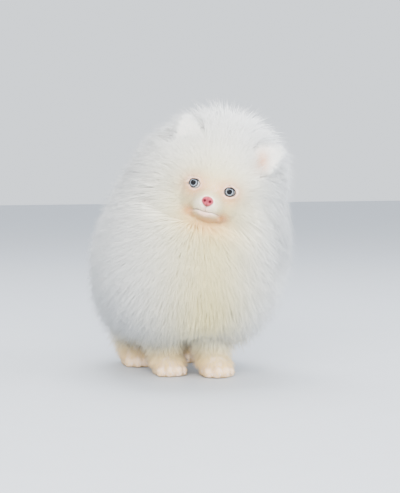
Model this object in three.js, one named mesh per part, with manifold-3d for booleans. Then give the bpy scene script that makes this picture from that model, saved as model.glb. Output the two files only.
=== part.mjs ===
// A standing young pomeranian, life size, in millimetres.
// +Z is up, the dog faces -Y and its left side is +X. The origin is on the floor, under the middle of its
// box. The body is one set of smooth flesh forms inside one set of coat forms. Each part of the dog is a
// closed core that lies between the two, with the long coat as flat, tapered locks that reach out to the
// coat's surface.
import * as THREE from "three";
import { mergeVertices } from "three/addons/utils/BufferGeometryUtils.js";
import Module from "manifold-3d";

const wasm = await Module();
wasm.setup();

// Driving dimensions, mm.
const GAP = 0.3; // between touching parts
const CORE_SHARE = 0.44; // how far a core reaches from the flesh to the tips of the coat

// Locks of the long coat.
const HEAD_SPACING = 24; // between roots
const NECK_SPACING = 28;
const TORSO_SPACING = 30.5;
const LOCK_WIDTH = 34;
const CROWN_LOCK_WIDTH = 27;
const LOCK_THICKNESS = 6;
const LOCK_SINK = 8; // how deep a lock is rooted in its core
const LOCK_SHAPE = [
  // the share of the full width and thickness at each quarter from root to tip
  { wide: 0.72, thick: 1 },
  { wide: 1, thick: 0.85 },
  { wide: 0.7, thick: 0.55 },
  { wide: 0, thick: 0 },
];
const LOCK_STAND = 0.8; // how strongly a lock stands off its core, beside its lie
const LOCK_BEND = 0.36; // how far out a lock goes before it bends, as a share of its length
const LOCK_SWAY = 0.34; // how far the leans of neighbouring locks differ
const LOCK_ROLL = 0.7; // radians between the most tilted locks
const SHORTEST_LOCK = 14;
const LENGTH_SHARES = [0.92, 1.02]; // of the way to the tips of the coat
const WIDTH_SHARES = [0.85, 1.15];
const ROOT_MARGIN = 2; // how far a root keeps from the surface that parts two nodes
const SIDE_MARGIN = 2.5; // how far the middle of a lock keeps from that surface
const LOWEST_TIP = 24; // above the floor, for the coat of the body
const FRINGE_LENGTH = 17; // the short locks down the back of each leg
const FRINGE_WIDTH = 11;
const FRINGE_THICKNESS = 4;
const FRINGE_HEIGHTS = [22, 35];
const FRINGE_TURNS = [-60, 5, 65]; // degrees round the leg from straight back

// Head: the point between the eyes, and how the head is turned.
const EYES_MIDDLE = new THREE.Vector3(1.7, -70, 207.8);
const HEAD_YAW = -26; // degrees, towards the dog's right
const HEAD_ROLL = 14.4; // degrees, left side down
const HEAD_PITCH = 2; // degrees, nose up
const EYE_SPACING = 37;
const EYE_RADIUS = 7.6;
const EYE_DEPTH = -4; // before the point between the eyes
const LID_THICKNESS = 1.5;
const LID_SIZE = [7, 6.1]; // half the width and half the height of the ring of the lids
const LID_AHEAD = 4.4; // of the middle of the eye
const LID_CURVE = 0.055; // how far the corners fall back, for each square millimetre across
const LID_OUTWARDS = 0.6; // from the middle of the eye
const LID_DEPTH = 9; // of the ring, as a share of its own unit thickness
const HEAD_MIDDLE = [0, 14, -4]; // in the head's own frame, from between the eyes
const FACE_FUR = 2.5;
const CROWN_COAT = 61;
const CROWN_EDGES = [72, 125]; // degrees from the face's middle, over which the crown's coat grows long
const RUFF_EDGES = [64, 98]; // the same for the coat of the cheeks and throat
const NOSE_AT = [0, -30, -15.4];
const NOSE_SIZE = [7.2, 6, 5.4]; // half
const NOSTRIL_AT = [3.2, -5, -0.4]; // from the middle of the nose
const NOSTRIL_SIZE = [1.5, 2.6, 1.2]; // half
const MOUTH_GROOVE = 1;
const MOUTH_CORNER = [17.5, -3, -27.6]; // on the dog's left, and mirrored on its right
const MOUTH_MIDDLE = [0, -28, -25.5];
const LIP_DROP = 2.2; // from the line of the mouth to the middle of the lower lip
const LIP_RADIUS = 1.5;
const EARS = [
  // the middle of each ear in the head's frame, and its lean in radians towards the dog's left
  { name: "ear_left", at: [45, 12, 42], lean: 0.85 },
  { name: "ear_right", at: [-38, 12, 47], lean: -0.5 },
];
const EAR_HEIGHT = 42;
const EAR_WIDTH = 15; // half
const EAR_THICKNESS = 5;
const EAR_CUP = 4.5; // how deep the front is hollowed
const EAR_CURL = 0.018; // how far the edges come forward, for each square millimetre across
const EAR_TAPER = 0.32; // how much narrower the top is
const EAR_CLEARANCE = 2; // times the common gap, round the ear's thin rim
const EAR_PARTING = 13; // no lock is rooted nearer to an ear's middle
const LONG_COAT_FROM = 84; // degrees from the face's middle, where the long locks start

// Paws: the middle of each sole on the floor.
const SOLES = {
  foreleg_right: [-22, 5],
  foreleg_left: [23, -22],
  hindleg_right: [-31, 85],
  hindleg_left: [31, 95],
};
const ELBOW_HEIGHT = 88;
const HOCK_HEIGHT = 42;
const ANKLE_HEIGHT = 11;
const LEG_RADIUS = 14.5;
const LEG_SECTIONS = [
  // height, and the half width and half depth as shares of the leg's radius
  { height: ELBOW_HEIGHT, wide: 1.25, deep: 1.3 },
  { height: 65, wide: 1.1, deep: 1.15 },
  { height: HOCK_HEIGHT, wide: 1, deep: 1 },
  { height: ANKLE_HEIGHT, wide: 0.98, deep: 1.02 },
];
const LEG_PARTING = 5; // no lock of the torso is rooted nearer to a leg
const PAW_LENGTH = 21; // half
const PAW_WIDTH = 18.5; // half
const PAW_HEIGHT = 20;
const PAW_MIDDLE = 9; // above the floor
const TOE_RADIUS = 7.4;
const TOE_SHARES = [0.92, 1.15, 1.12]; // half the width, length and height, as shares of the toe's radius
const CLAW_LENGTH = 6;
const CLAW_RADIUS = 1.4;
const CLAW_DROOP = 0.5; // radians below level
const TOES = [
  // across the paw, ahead of its middle, and the toe's size
  [-12, -14.5, 0.94],
  [-4.3, -20, 1.05],
  [4.3, -20, 1.05],
  [12, -14.5, 0.94],
];

// Flesh and coat: [centre, radii] of ellipsoids that blend into each other.
const FLESH = [
  [[0, -8, 128], [42, 46, 50]], // chest
  [[0, 35, 130], [42, 58, 46]], // ribs
  [[0, 84, 132], [38, 38, 40]], // rump
  [[0, -22, 178], [30, 30, 42]], // neck
];
const COAT = [
  [[6, -26, 122], [109, 80, 96]], // bib and forechest
  [[0, 26, 122], [94, 84, 96]], // flanks
  [[-4, 74, 124], [74, 80, 90]], // rump
  [[8, -16, 176], [94, 66, 80]], // ruff and mane
  [[6, -20, 230], [72, 54, 58]], // nape
  [[-27, 84, 70], [44, 48, 46]], // right trousers
  [[28, 88, 70], [44, 48, 46]], // left trousers
  [[36, 8, 84], [66, 60, 52]], // left skirt
];
const FLESH_BLEND = 14;
const COAT_BLEND = 16;
const TORSO_MIDDLE = new THREE.Vector3(0, 35, 126);
const NECK_MIDDLE = new THREE.Vector3(0, -22, 178);

// Faces round and along each core. Those of the head crowd towards the face.
const HEAD_FACES = [26, 23];
const FACE_CROWDING = 1.35;
const NECK_FACES = [24, 16];
const TORSO_FACES = [26, 18];

// The planes that part the head from the neck, the neck from the torso and the tail from the torso.
const HEAD_PLANE = plane([0, -35, 204], [0, 0.5, -0.866]);
const NECK_PLANE = plane([0, -8, 168], [0, 0.7, -0.714]);
const TAIL_PLANE = plane([0, 60, 192], [0, -0.28, -0.96]);

function plane(point, down) {
  return { point: new THREE.Vector3(...point), normal: new THREE.Vector3(...down).normalize() };
}

// How far a point lies on the lower side of a plane.
function depthBelow(surface, p) {
  return p.clone().sub(surface.point).dot(surface.normal);
}

// The same plane seen from its other side.
function turned(surface) {
  return { point: surface.point, normal: surface.normal.clone().negate() };
}

// A repeatable random number from 0 to 1.
function seeded(seed) {
  let state = seed;
  return () => {
    state = (state * 1664525 + 1013904223) % 4294967296;
    return state / 4294967296;
  };
}

const between = (random, [low, high]) => low + (high - low) * random();

function ellipsoidDistance(p, [c, r]) {
  const x = p.x - c[0];
  const y = p.y - c[1];
  const z = p.z - c[2];
  const near = Math.hypot(x / r[0], y / r[1], z / r[2]);
  const far = Math.hypot(x / r[0] ** 2, y / r[1] ** 2, z / r[2] ** 2);
  return (near * (near - 1)) / Math.max(far, 1e-6);
}

// The distance to several forms, with their joins filled by about the blend.
function blended(p, forms, blend) {
  const sum = forms.reduce((total, form) => total + Math.exp(-ellipsoidDistance(p, form) / blend), 0);
  return -blend * Math.log(Math.max(sum, 1e-30));
}

// How far from a start, along a direction, a field of distances turns positive.
function reach(start, direction, field, furthest = 240) {
  let low = 0;
  let high = furthest;
  for (let i = 0; i < 30; i++) {
    const half = (low + high) / 2;
    if (field(start.clone().addScaledVector(direction, half)) < 0) low = half;
    else high = half;
  }
  return low;
}

// A closed geometry with its shared vertices merged.
function welded(geometry) {
  const bare = new THREE.BufferGeometry();
  bare.setAttribute("position", geometry.getAttribute("position"));
  if (geometry.index) bare.setIndex(geometry.index);
  const merged = mergeVertices(bare, 1e-4);
  const kept = [];
  const index = merged.index.array;
  for (let i = 0; i < index.length; i += 3) {
    const [a, b, c] = [index[i], index[i + 1], index[i + 2]];
    if (a !== b && b !== c && c !== a) kept.push(a, b, c);
  }
  merged.setIndex(kept);
  return merged;
}

function solidOf(geometry) {
  const merged = welded(geometry);
  const kept = Array.from(merged.index.array);
  const vertProperties = new Float32Array(merged.attributes.position.array);
  const make = (triVerts) => new wasm.Manifold(new wasm.Mesh({ numProp: 3, vertProperties, triVerts }));
  const made = make(new Uint32Array(kept));
  if (made.volume() > 0) return made;
  for (let i = 0; i < kept.length; i += 3) [kept[i + 1], kept[i + 2]] = [kept[i + 2], kept[i + 1]];
  return make(new Uint32Array(kept));
}

function geometryOf(solid) {
  const mesh = solid.getMesh();
  const position = new Float32Array(mesh.numVert * 3);
  for (let i = 0; i < mesh.numVert; i++) {
    position.set(mesh.vertProperties.subarray(i * mesh.numProp, i * mesh.numProp + 3), i * 3);
  }
  const geometry = new THREE.BufferGeometry();
  geometry.setAttribute("position", new THREE.BufferAttribute(position, 3));
  geometry.setIndex(new THREE.BufferAttribute(mesh.triVerts, 1));
  return geometry;
}

function largest(solid) {
  const pieces = solid.decompose();
  return pieces.reduce((best, piece) => (piece.volume() > best.volume() ? piece : best));
}

// Moves every vertex of a geometry.
function reshaped(geometry, move) {
  const position = geometry.getAttribute("position");
  const p = new THREE.Vector3();
  for (let i = 0; i < position.count; i++) {
    p.fromBufferAttribute(position, i);
    const q = move(p);
    position.setXYZ(i, q.x, q.y, q.z);
  }
  return geometry;
}

// A closed geometry with each vertex moved out along its normal.
function swollen(geometry, gap) {
  const merged = welded(geometry);
  if (gap === 0) return merged;
  merged.computeVertexNormals();
  const normal = merged.getAttribute("normal");
  const position = merged.getAttribute("position");
  for (let i = 0; i < position.count; i++) {
    position.setXYZ(
      i,
      position.getX(i) + normal.getX(i) * gap,
      position.getY(i) + normal.getY(i) * gap,
      position.getZ(i) + normal.getZ(i) * gap,
    );
  }
  return merged;
}

// A closed surface round a middle, whose distance from it depends on the direction. Its rings start at the
// forward direction, and a crowding above 1 sets them closer together there.
function starSolid(middle, radius, [around, along], forward, crowding = 1) {
  const sphere = new THREE.SphereGeometry(1, around, along);
  reshaped(sphere, (p) => {
    const polar = Math.acos(THREE.MathUtils.clamp(p.y, -1, 1));
    const moved = Math.PI * (polar / Math.PI) ** crowding;
    const ring = Math.hypot(p.x, p.z);
    const side = ring > 1e-6 ? Math.sin(moved) / ring : 0;
    return new THREE.Vector3(p.x * side, Math.cos(moved), p.z * side);
  });
  sphere.applyQuaternion(new THREE.Quaternion().setFromUnitVectors(new THREE.Vector3(0, 1, 0), forward));
  return solidOf(
    reshaped(sphere, (p) => {
      const direction = p.clone().normalize();
      return middle.clone().addScaledVector(direction, radius(direction));
    }),
  );
}

// What lies below a plane, moved down by half a gap, as a big box.
function below(surface) {
  const size = 900;
  const box = new THREE.BoxGeometry(size, size, size);
  box.translate(0, 0, size / 2);
  box.applyQuaternion(new THREE.Quaternion().setFromUnitVectors(new THREE.Vector3(0, 0, 1), surface.normal));
  const start = surface.point.clone().addScaledVector(surface.normal, GAP / 2);
  box.translate(start.x, start.y, start.z);
  return solidOf(box);
}

function above(surface) {
  return below(turned(surface));
}

// A tube of oval rings along a path, closed at both ends.
function loft(stations, around, steps) {
  const path = new THREE.CatmullRomCurve3(stations.map((s) => new THREE.Vector3(...s.at)));
  const sizes = new THREE.CatmullRomCurve3(stations.map((s) => new THREE.Vector3(s.wide, s.deep, 0)));
  const tube = new THREE.CylinderGeometry(1, 1, 1, around, steps, false);
  return solidOf(
    reshaped(tube, (p) => {
      const t = THREE.MathUtils.clamp(0.5 - p.y, 0, 1);
      const along = path.getTangent(t);
      const side = new THREE.Vector3(1, 0, 0).addScaledVector(along, -along.x).normalize();
      const front = new THREE.Vector3().crossVectors(along, side);
      const size = sizes.getPoint(t);
      return path.getPoint(t).addScaledVector(side, p.x * size.x).addScaledVector(front, p.z * size.y);
    }),
  );
}

function ball(centre, radii, around, along) {
  const made = new THREE.SphereGeometry(1, around, along);
  made.scale(...radii);
  made.translate(...centre);
  return made;
}

// One flat, tapered lock that bends from its sunken root to its tip. Its flat side faces outwards.
function lockSolid({ root, out, tip, width, thickness, roll }, push = (p) => p) {
  const start = root.clone().addScaledVector(out, -LOCK_SINK);
  const length = tip.distanceTo(start);
  const bend = root.clone().addScaledVector(out, length * LOCK_BEND);
  const path = new THREE.QuadraticBezierCurve3(start, bend, tip);
  const lean = tip.clone().sub(start).normalize();
  const across = new THREE.Vector3().crossVectors(lean, out);
  if (across.length() < 0.05) across.crossVectors(lean, new THREE.Vector3(0, 0, 1));
  across.normalize().applyAxisAngle(lean, roll);
  const sections = LOCK_SHAPE.length - 1;
  const cone = new THREE.ConeGeometry(1, 1, 4, sections);
  return solidOf(
    reshaped(cone, (p) => {
      const t = THREE.MathUtils.clamp(p.y + 0.5, 0, 1);
      const shape = LOCK_SHAPE[Math.round(t * sections)];
      const spread = t < 1 ? 1 / (1 - t) : 0;
      const flat = new THREE.Vector3().crossVectors(across, path.getTangent(t));
      return push(path.getPoint(t))
        .addScaledVector(across, p.x * spread * shape.wide * width * 0.5)
        .addScaledVector(flat, p.z * spread * shape.thick * thickness * 0.5);
    }),
  );
}

// The head's own frame: x to the dog's left, -y out of the face, z up, from between the eyes.
const headTurn = new THREE.Matrix4()
  .makeTranslation(EYES_MIDDLE)
  .multiply(new THREE.Matrix4().makeRotationZ(THREE.MathUtils.degToRad(HEAD_YAW)))
  .multiply(new THREE.Matrix4().makeRotationY(THREE.MathUtils.degToRad(HEAD_ROLL)))
  .multiply(new THREE.Matrix4().makeRotationX(THREE.MathUtils.degToRad(-HEAD_PITCH)));
const headBack = headTurn.clone().invert();
const inHead = (geometry) => solidOf(geometry.applyMatrix4(headTurn));

const HEAD_FLESH = [
  [[0, 25, 9], [32, 36, 33]], // skull
  [[0, 6, 8], [22, 16, 16]], // forehead
  [[16, 9, -15], [15, 18, 16]], // cheeks
  [[-16, 9, -15], [15, 18, 16]],
  [[0, -10, -14], [11, 18, 8.5]], // muzzle
  [[5.5, -17, -19.5], [7, 7.5, 6]], // lips
  [[-5.5, -17, -19.5], [7, 7.5, 6]],
  [[0, -7, -27], [10.5, 16, 6]], // jaw
];
const HEAD_BLEND = 3.6;
const headField = (p) => blended(p, HEAD_FLESH, HEAD_BLEND);
const headMiddle = new THREE.Vector3(...HEAD_MIDDLE);
const headMiddleOut = headMiddle.clone().applyMatrix4(headTurn);
const faceForward = new THREE.Vector3(0, -0.97, -0.24);
const faceForwardOut = faceForward.clone().transformDirection(headTurn);

const flesh = (p) => blended(p, FLESH, FLESH_BLEND);
const coat = (p) => blended(p, COAT, COAT_BLEND);
const headCoatField = (p) => coat(p.clone().applyMatrix4(headTurn));

// The head's skin with its short fur, and the tips of its coat, as distances from its middle.
function headReaches(direction) {
  const off = THREE.MathUtils.radToDeg(direction.angleTo(faceForward));
  const skin = reach(headMiddle, direction, headField, 90) + FACE_FUR;
  const crown = skin + CROWN_COAT * THREE.MathUtils.smoothstep(off, ...CROWN_EDGES);
  const body = reach(headMiddle, direction, headCoatField, 160);
  const ruff = skin + Math.max(0, body - skin) * THREE.MathUtils.smoothstep(off, ...RUFF_EDGES);
  return { skin, tips: Math.max(crown, ruff), off };
}

const headRadius = (share) => (direction) => {
  const { skin, tips } = headReaches(direction);
  return skin + (tips - skin) * share;
};

const bodyRadius = (middle, share) => (direction) => {
  const inner = reach(middle, direction, flesh);
  const outer = reach(middle, direction, coat);
  return inner + (outer - inner) * share;
};

// Negative inside the tips of the head's coat.
function headEnvelope(p) {
  const local = p.clone().applyMatrix4(headBack).sub(headMiddle);
  const distance = local.length();
  return distance - headReaches(local.normalize()).tips;
}

// The direction in which a field grows fastest.
function outward(field, p) {
  const step = 1;
  const slope = (axis) =>
    field(p.clone().addScaledVector(axis, step)) - field(p.clone().addScaledVector(axis, -step));
  return new THREE.Vector3(
    slope(new THREE.Vector3(1, 0, 0)),
    slope(new THREE.Vector3(0, 1, 0)),
    slope(new THREE.Vector3(0, 0, 1)),
  ).normalize();
}

// Roots spread evenly over a core: directions on a spiral, kept where they fit and are not too close.
function spreadRoots(middle, radius, spacing, fits) {
  const tries = 2600;
  const kept = [];
  for (let i = 0; i < tries; i++) {
    const z = 1 - (2 * i + 1) / tries;
    const turn = i * Math.PI * (3 - Math.sqrt(5));
    const ring = Math.sqrt(1 - z * z);
    const direction = new THREE.Vector3(ring * Math.cos(turn), ring * Math.sin(turn), z);
    const root = middle.clone().addScaledVector(direction, radius(direction));
    if (!fits(root, direction)) continue;
    if (kept.every((other) => other.distanceTo(root) > spacing)) kept.push(root);
  }
  return kept;
}

// Moves points that come too near to a part's planes, or too low, back into the part.
function keeper(planes, lowest = -Infinity) {
  return (p) => {
    for (const surface of planes) {
      const inside = depthBelow(surface, p);
      if (inside < SIDE_MARGIN) p.addScaledVector(surface.normal, SIDE_MARGIN - inside);
    }
    p.z = Math.max(p.z, lowest);
    return p;
  };
}

// Locks over a core. The lie gives the way the coat leans at a root, and push keeps them in their part.
function coatLocks({ roots, field, lie, seed, push, widest = LOCK_WIDTH }) {
  const random = seeded(seed);
  return roots.map((root) => {
    const out = outward(field, root);
    const sway = new THREE.Vector3(random() - 0.5, random() - 0.5, random() - 0.5).multiplyScalar(LOCK_SWAY);
    const lean = out.clone().multiplyScalar(LOCK_STAND).add(lie(root, out)).add(sway).normalize();
    const toTips = reach(root, lean, field, 120) * between(random, LENGTH_SHARES);
    const length = Math.max(toTips, SHORTEST_LOCK);
    const tip = push(root.clone().addScaledVector(lean, length));
    const width = Math.min(widest, length * 1.1) * between(random, WIDTH_SHARES);
    const roll = (random() - 0.5) * LOCK_ROLL;
    return lockSolid({ root, out, tip, width, thickness: LOCK_THICKNESS, roll }, push);
  });
}

// The coat of the body lies back and down.
const bodyLie = () => new THREE.Vector3(0, 0.3, -0.45);

// The coat round the head spreads away from the face.
function faceLie(root, out) {
  const away = root.clone().sub(headMiddleOut);
  away.addScaledVector(faceForwardOut, -away.dot(faceForwardOut)).normalize();
  return away.addScaledVector(out, -away.dot(out)).multiplyScalar(0.5);
}

function eyeCentre(side) {
  return [(side * EYE_SPACING) / 2, EYE_DEPTH, 0];
}

function eyeSolid(side, grow) {
  const radius = EYE_RADIUS + grow;
  return inHead(ball(eyeCentre(side), [radius, radius, radius], 14, 9));
}

// The rim of the lids: a flattened ring round the front of the eye, pointed at both corners.
function lidSolid(side) {
  const ring = new THREE.TorusGeometry(1, LID_THICKNESS / LID_SIZE[0], 6, 18);
  const [x, y, z] = eyeCentre(side);
  return inHead(
    reshaped(ring, (p) => {
      const across = p.x * LID_SIZE[0];
      const up = p.y * LID_SIZE[1];
      const back = LID_CURVE * across * across - LID_AHEAD;
      return new THREE.Vector3(x + across + side * LID_OUTWARDS, y + back - p.z * LID_DEPTH, z + up);
    }),
  );
}

// Broad above, narrow below and flat in front.
function noseGeometry() {
  return reshaped(new THREE.SphereGeometry(1, 14, 10), (p) => {
    const narrow = 1 - 0.28 * Math.max(0, -p.z);
    return new THREE.Vector3(
      NOSE_AT[0] + p.x * NOSE_SIZE[0] * narrow,
      NOSE_AT[1] + Math.max(p.y, -0.82) * NOSE_SIZE[1],
      NOSE_AT[2] + p.z * NOSE_SIZE[2],
    );
  });
}

function noseSolid() {
  let nose = inHead(noseGeometry());
  for (const side of [1, -1]) {
    const [x, y, z] = NOSTRIL_AT;
    const centre = [NOSE_AT[0] + side * x, NOSE_AT[1] + y, NOSE_AT[2] + z];
    nose = nose.subtract(inHead(ball(centre, NOSTRIL_SIZE, 8, 6)));
  }
  return nose;
}

// A round bar along a curve in the head's frame.
function headBar(points, radius, steps) {
  const curve = new THREE.CatmullRomCurve3(points.map((p) => new THREE.Vector3(...p)));
  const section = new THREE.Shape().absarc(0, 0, radius, 0, Math.PI * 2);
  const options = { extrudePath: curve, steps, curveSegments: 3, bevelEnabled: false };
  return inHead(new THREE.ExtrudeGeometry(section, options));
}

function mouthCurve(drop) {
  const [cx, cy, cz] = MOUTH_CORNER;
  const [mx, my, mz] = MOUTH_MIDDLE;
  return [
    [-cx, cy, cz - drop],
    [-cx * 0.62, (cy + my) / 2 - 2, mz - drop],
    [mx, my, mz - 1 - drop],
    [cx * 0.62, (cy + my) / 2 - 2, mz - drop],
    [cx, cy, cz - drop],
  ];
}

// A cupped ear: a leaf that curls towards the front, thick enough to be solid.
function earSolid({ at, lean }, grow) {
  const shape = reshaped(new THREE.SphereGeometry(1, 14, 10), (p) => {
    const up = p.z;
    const taper = 1 - EAR_TAPER * Math.max(0, up);
    const x = p.x * EAR_WIDTH * taper;
    const cup = p.y < 0 ? EAR_CUP * (1 - p.x * p.x) * Math.sqrt(Math.max(0, 1 - up * up)) : 0;
    const z = up * EAR_HEIGHT * 0.5;
    return new THREE.Vector3(
      at[0] + Math.cos(lean) * x + Math.sin(lean) * z,
      at[1] + p.y * EAR_THICKNESS * taper + cup - EAR_CURL * x * x,
      at[2] + Math.cos(lean) * z - Math.sin(lean) * x,
    );
  });
  return inHead(swollen(shape, grow * EAR_CLEARANCE));
}

const LEG_TOPS = {
  foreleg_right: [-25, 4, ELBOW_HEIGHT],
  foreleg_left: [25, -2, ELBOW_HEIGHT],
  hindleg_right: [-27, 74, ELBOW_HEIGHT],
  hindleg_left: [27, 78, ELBOW_HEIGHT],
};

// The middle of a leg at a height.
function legAt(name, height) {
  const [x, y] = SOLES[name];
  const top = LEG_TOPS[name];
  const bend = name.startsWith("hind") ? [x * 0.97, y + 17, HOCK_HEIGHT] : [x * 1.02, y + 8, HOCK_HEIGHT];
  const halfway = new THREE.Vector3(...top).lerp(new THREE.Vector3(...bend), 0.5);
  const path = new THREE.CatmullRomCurve3([
    new THREE.Vector3(...top),
    halfway,
    new THREE.Vector3(...bend),
    new THREE.Vector3(x, y + 5, ANKLE_HEIGHT),
  ]);
  return path.getPoint(THREE.MathUtils.clamp((top[2] - height) / (top[2] - ANKLE_HEIGHT), 0, 1));
}

// A ball of the given half sizes, cut flat where it meets the floor.
function standing([x, y, z], [wide, long, tall], floor, around, along) {
  const shape = reshaped(new THREE.SphereGeometry(1, around, along), (p) => {
    return new THREE.Vector3(x + p.x * wide, y + p.y * long, Math.max(z + p.z * tall, floor));
  });
  return solidOf(shape);
}

// One toe with its claw, which points ahead and droops.
function toeSolids(x, y, size, grow) {
  const radius = TOE_RADIUS * size + grow;
  const height = TOE_RADIUS * size * 0.86;
  const [wide, long, tall] = TOE_SHARES.map((share) => share * radius);
  const claw = new THREE.ConeGeometry(CLAW_RADIUS + grow, CLAW_LENGTH + grow, 4, 1);
  claw.rotateX(Math.PI + CLAW_DROOP);
  claw.translate(x, y - long, height * 0.75);
  return [standing([x, y, height], [wide, long, tall], -grow, 8, 5), solidOf(claw)];
}

function legSolid(name, grow) {
  const [x, y] = SOLES[name];
  const radius = LEG_RADIUS + grow;
  const stations = LEG_SECTIONS.map(({ height, wide, deep }) => {
    const at = legAt(name, height);
    if (height === ELBOW_HEIGHT) at.z += grow;
    return { at: at.toArray(), wide: radius * wide, deep: radius * deep };
  });
  const pawSize = [PAW_WIDTH + grow, PAW_LENGTH + grow, PAW_HEIGHT + grow];
  const pieces = [loft(stations, 10, 4), standing([x, y - 3, PAW_MIDDLE], pawSize, -grow, 10, 7)];
  for (const [across, ahead, size] of TOES) pieces.push(...toeSolids(x + across, y + ahead, size, grow));
  return wasm.Manifold.union(pieces);
}

// Short locks down the back and sides of a leg.
function fringe(name, grow) {
  const random = seeded(name.length * 7 + name.charCodeAt(name.length - 1));
  const locks = [];
  for (const height of FRINGE_HEIGHTS) {
    const centre = legAt(name, height);
    for (const turn of FRINGE_TURNS) {
      const angle = THREE.MathUtils.degToRad(90 + turn + 12 * (random() - 0.5));
      const out = new THREE.Vector3(Math.cos(angle), Math.sin(angle), 0);
      const root = centre.clone().addScaledVector(out, LEG_RADIUS * 0.9);
      const length = FRINGE_LENGTH * (0.85 + 0.3 * random());
      const lean = out.clone().add(new THREE.Vector3(0, 0, -1.3)).normalize();
      const tip = root.clone().addScaledVector(lean, length);
      tip.z = Math.max(tip.z, 3);
      const width = FRINGE_WIDTH + grow * 2;
      locks.push(lockSolid({ root, out, tip, width, thickness: FRINGE_THICKNESS + grow * 2, roll: 0 }));
    }
  }
  return locks;
}

const TAIL_PATH = [
  { at: [0, 112, 172], wide: 12, deep: 12 },
  { at: [1, 121, 197], wide: 15, deep: 13 },
  { at: [2, 100, 213], wide: 20, deep: 13 },
  { at: [3, 76, 218], wide: 20, deep: 12 },
  { at: [3, 56, 219], wide: 10, deep: 7 },
];
const TAIL_PLUME = 34; // from the tail's middle to the tips
const TAIL_ROOTS = 8; // from the tail's middle to the roots
const TAIL_ROWS = [0.12, 0.325, 0.53, 0.735, 0.94]; // along the tail, as shares of its length
const TAIL_FAN = [-80, -30, 30, 80]; // degrees from the top of the tail
const TAIL_LOCK_WIDTH = 25;
const TAIL_LOCK_THICKNESS = 5;

// The plume: locks that fan out to both sides and back along the tail.
function tailLocks() {
  const random = seeded(61);
  const path = new THREE.CatmullRomCurve3(TAIL_PATH.map((s) => new THREE.Vector3(...s.at)));
  const push = keeper([turned(TAIL_PLANE), NECK_PLANE]);
  const locks = [];
  for (const t of TAIL_ROWS) {
    const centre = path.getPoint(t);
    const along = path.getTangent(t);
    for (const turn of TAIL_FAN) {
      const up = new THREE.Vector3().crossVectors(new THREE.Vector3(1, 0, 0), along).negate().normalize();
      const angle = THREE.MathUtils.degToRad(turn + 16 * (random() - 0.5));
      const sideways = new THREE.Vector3(Math.sin(angle), 0, 0);
      const out = up.multiplyScalar(Math.cos(angle)).add(sideways).normalize();
      const root = centre.clone().addScaledVector(out, TAIL_ROOTS);
      const lean = out.clone().addScaledVector(along, 0.55).normalize();
      const length = TAIL_PLUME * between(random, WIDTH_SHARES) - TAIL_ROOTS;
      const tip = push(root.clone().addScaledVector(lean, length));
      const sizes = { width: TAIL_LOCK_WIDTH, thickness: TAIL_LOCK_THICKNESS, roll: 0 };
      locks.push(lockSolid({ root, out, tip, ...sizes }, push));
    }
  }
  return locks;
}

// The head.
const forward = new THREE.Vector3(0, -1, 0);
const headCoreRadius = headRadius(CORE_SHARE);
const headStar = starSolid(headMiddle, headCoreRadius, HEAD_FACES, forward, FACE_CROWDING);
const headCore = inHead(geometryOf(headStar));
const inOwnFrame = (direction) => direction.clone().transformDirection(headBack);
const earRoots = EARS.map(({ at }) => new THREE.Vector3(...at).applyMatrix4(headTurn));
const growsOnHead = (root, direction) =>
  headReaches(inOwnFrame(direction)).off > LONG_COAT_FROM &&
  earRoots.every((ear) => ear.distanceTo(root) > EAR_PARTING) &&
  depthBelow(turned(HEAD_PLANE), root) > ROOT_MARGIN;
const headLocks = coatLocks({
  roots: spreadRoots(headMiddleOut, (d) => headCoreRadius(inOwnFrame(d)), HEAD_SPACING, growsOnHead),
  field: headEnvelope,
  lie: faceLie,
  seed: 11,
  push: keeper([turned(HEAD_PLANE)]),
  widest: CROWN_LOCK_WIDTH,
});
const lowerLip = headBar(mouthCurve(LIP_DROP), LIP_RADIUS, 16);
let head = wasm.Manifold.union([headCore, ...headLocks, lidSolid(1), lidSolid(-1), lowerLip]);
head = head.intersect(above(HEAD_PLANE));
head = head.subtract(headBar(mouthCurve(0), MOUTH_GROOVE, 16));
head = head.subtract(inHead(swollen(noseGeometry(), GAP * 1.2)));
for (const side of [1, -1]) head = head.subtract(eyeSolid(side, GAP));
for (const ear of EARS) head = head.subtract(earSolid(ear, GAP));

// The neck with its ruff.
const upwards = new THREE.Vector3(0, 0, 1);
const neckRadius = bodyRadius(NECK_MIDDLE, CORE_SHARE);
const neckPlanes = [HEAD_PLANE, turned(NECK_PLANE)];
const neckLocks = coatLocks({
  roots: spreadRoots(NECK_MIDDLE, neckRadius, NECK_SPACING, (root) =>
    neckPlanes.every((surface) => depthBelow(surface, root) > ROOT_MARGIN),
  ),
  field: coat,
  lie: faceLie,
  seed: 23,
  push: keeper(neckPlanes),
});
const neckCore = starSolid(NECK_MIDDLE, neckRadius, NECK_FACES, upwards);
const neckWhole = wasm.Manifold.union([neckCore, ...neckLocks]);
const neck = neckWhole.intersect(below(HEAD_PLANE)).intersect(above(NECK_PLANE));

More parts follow.
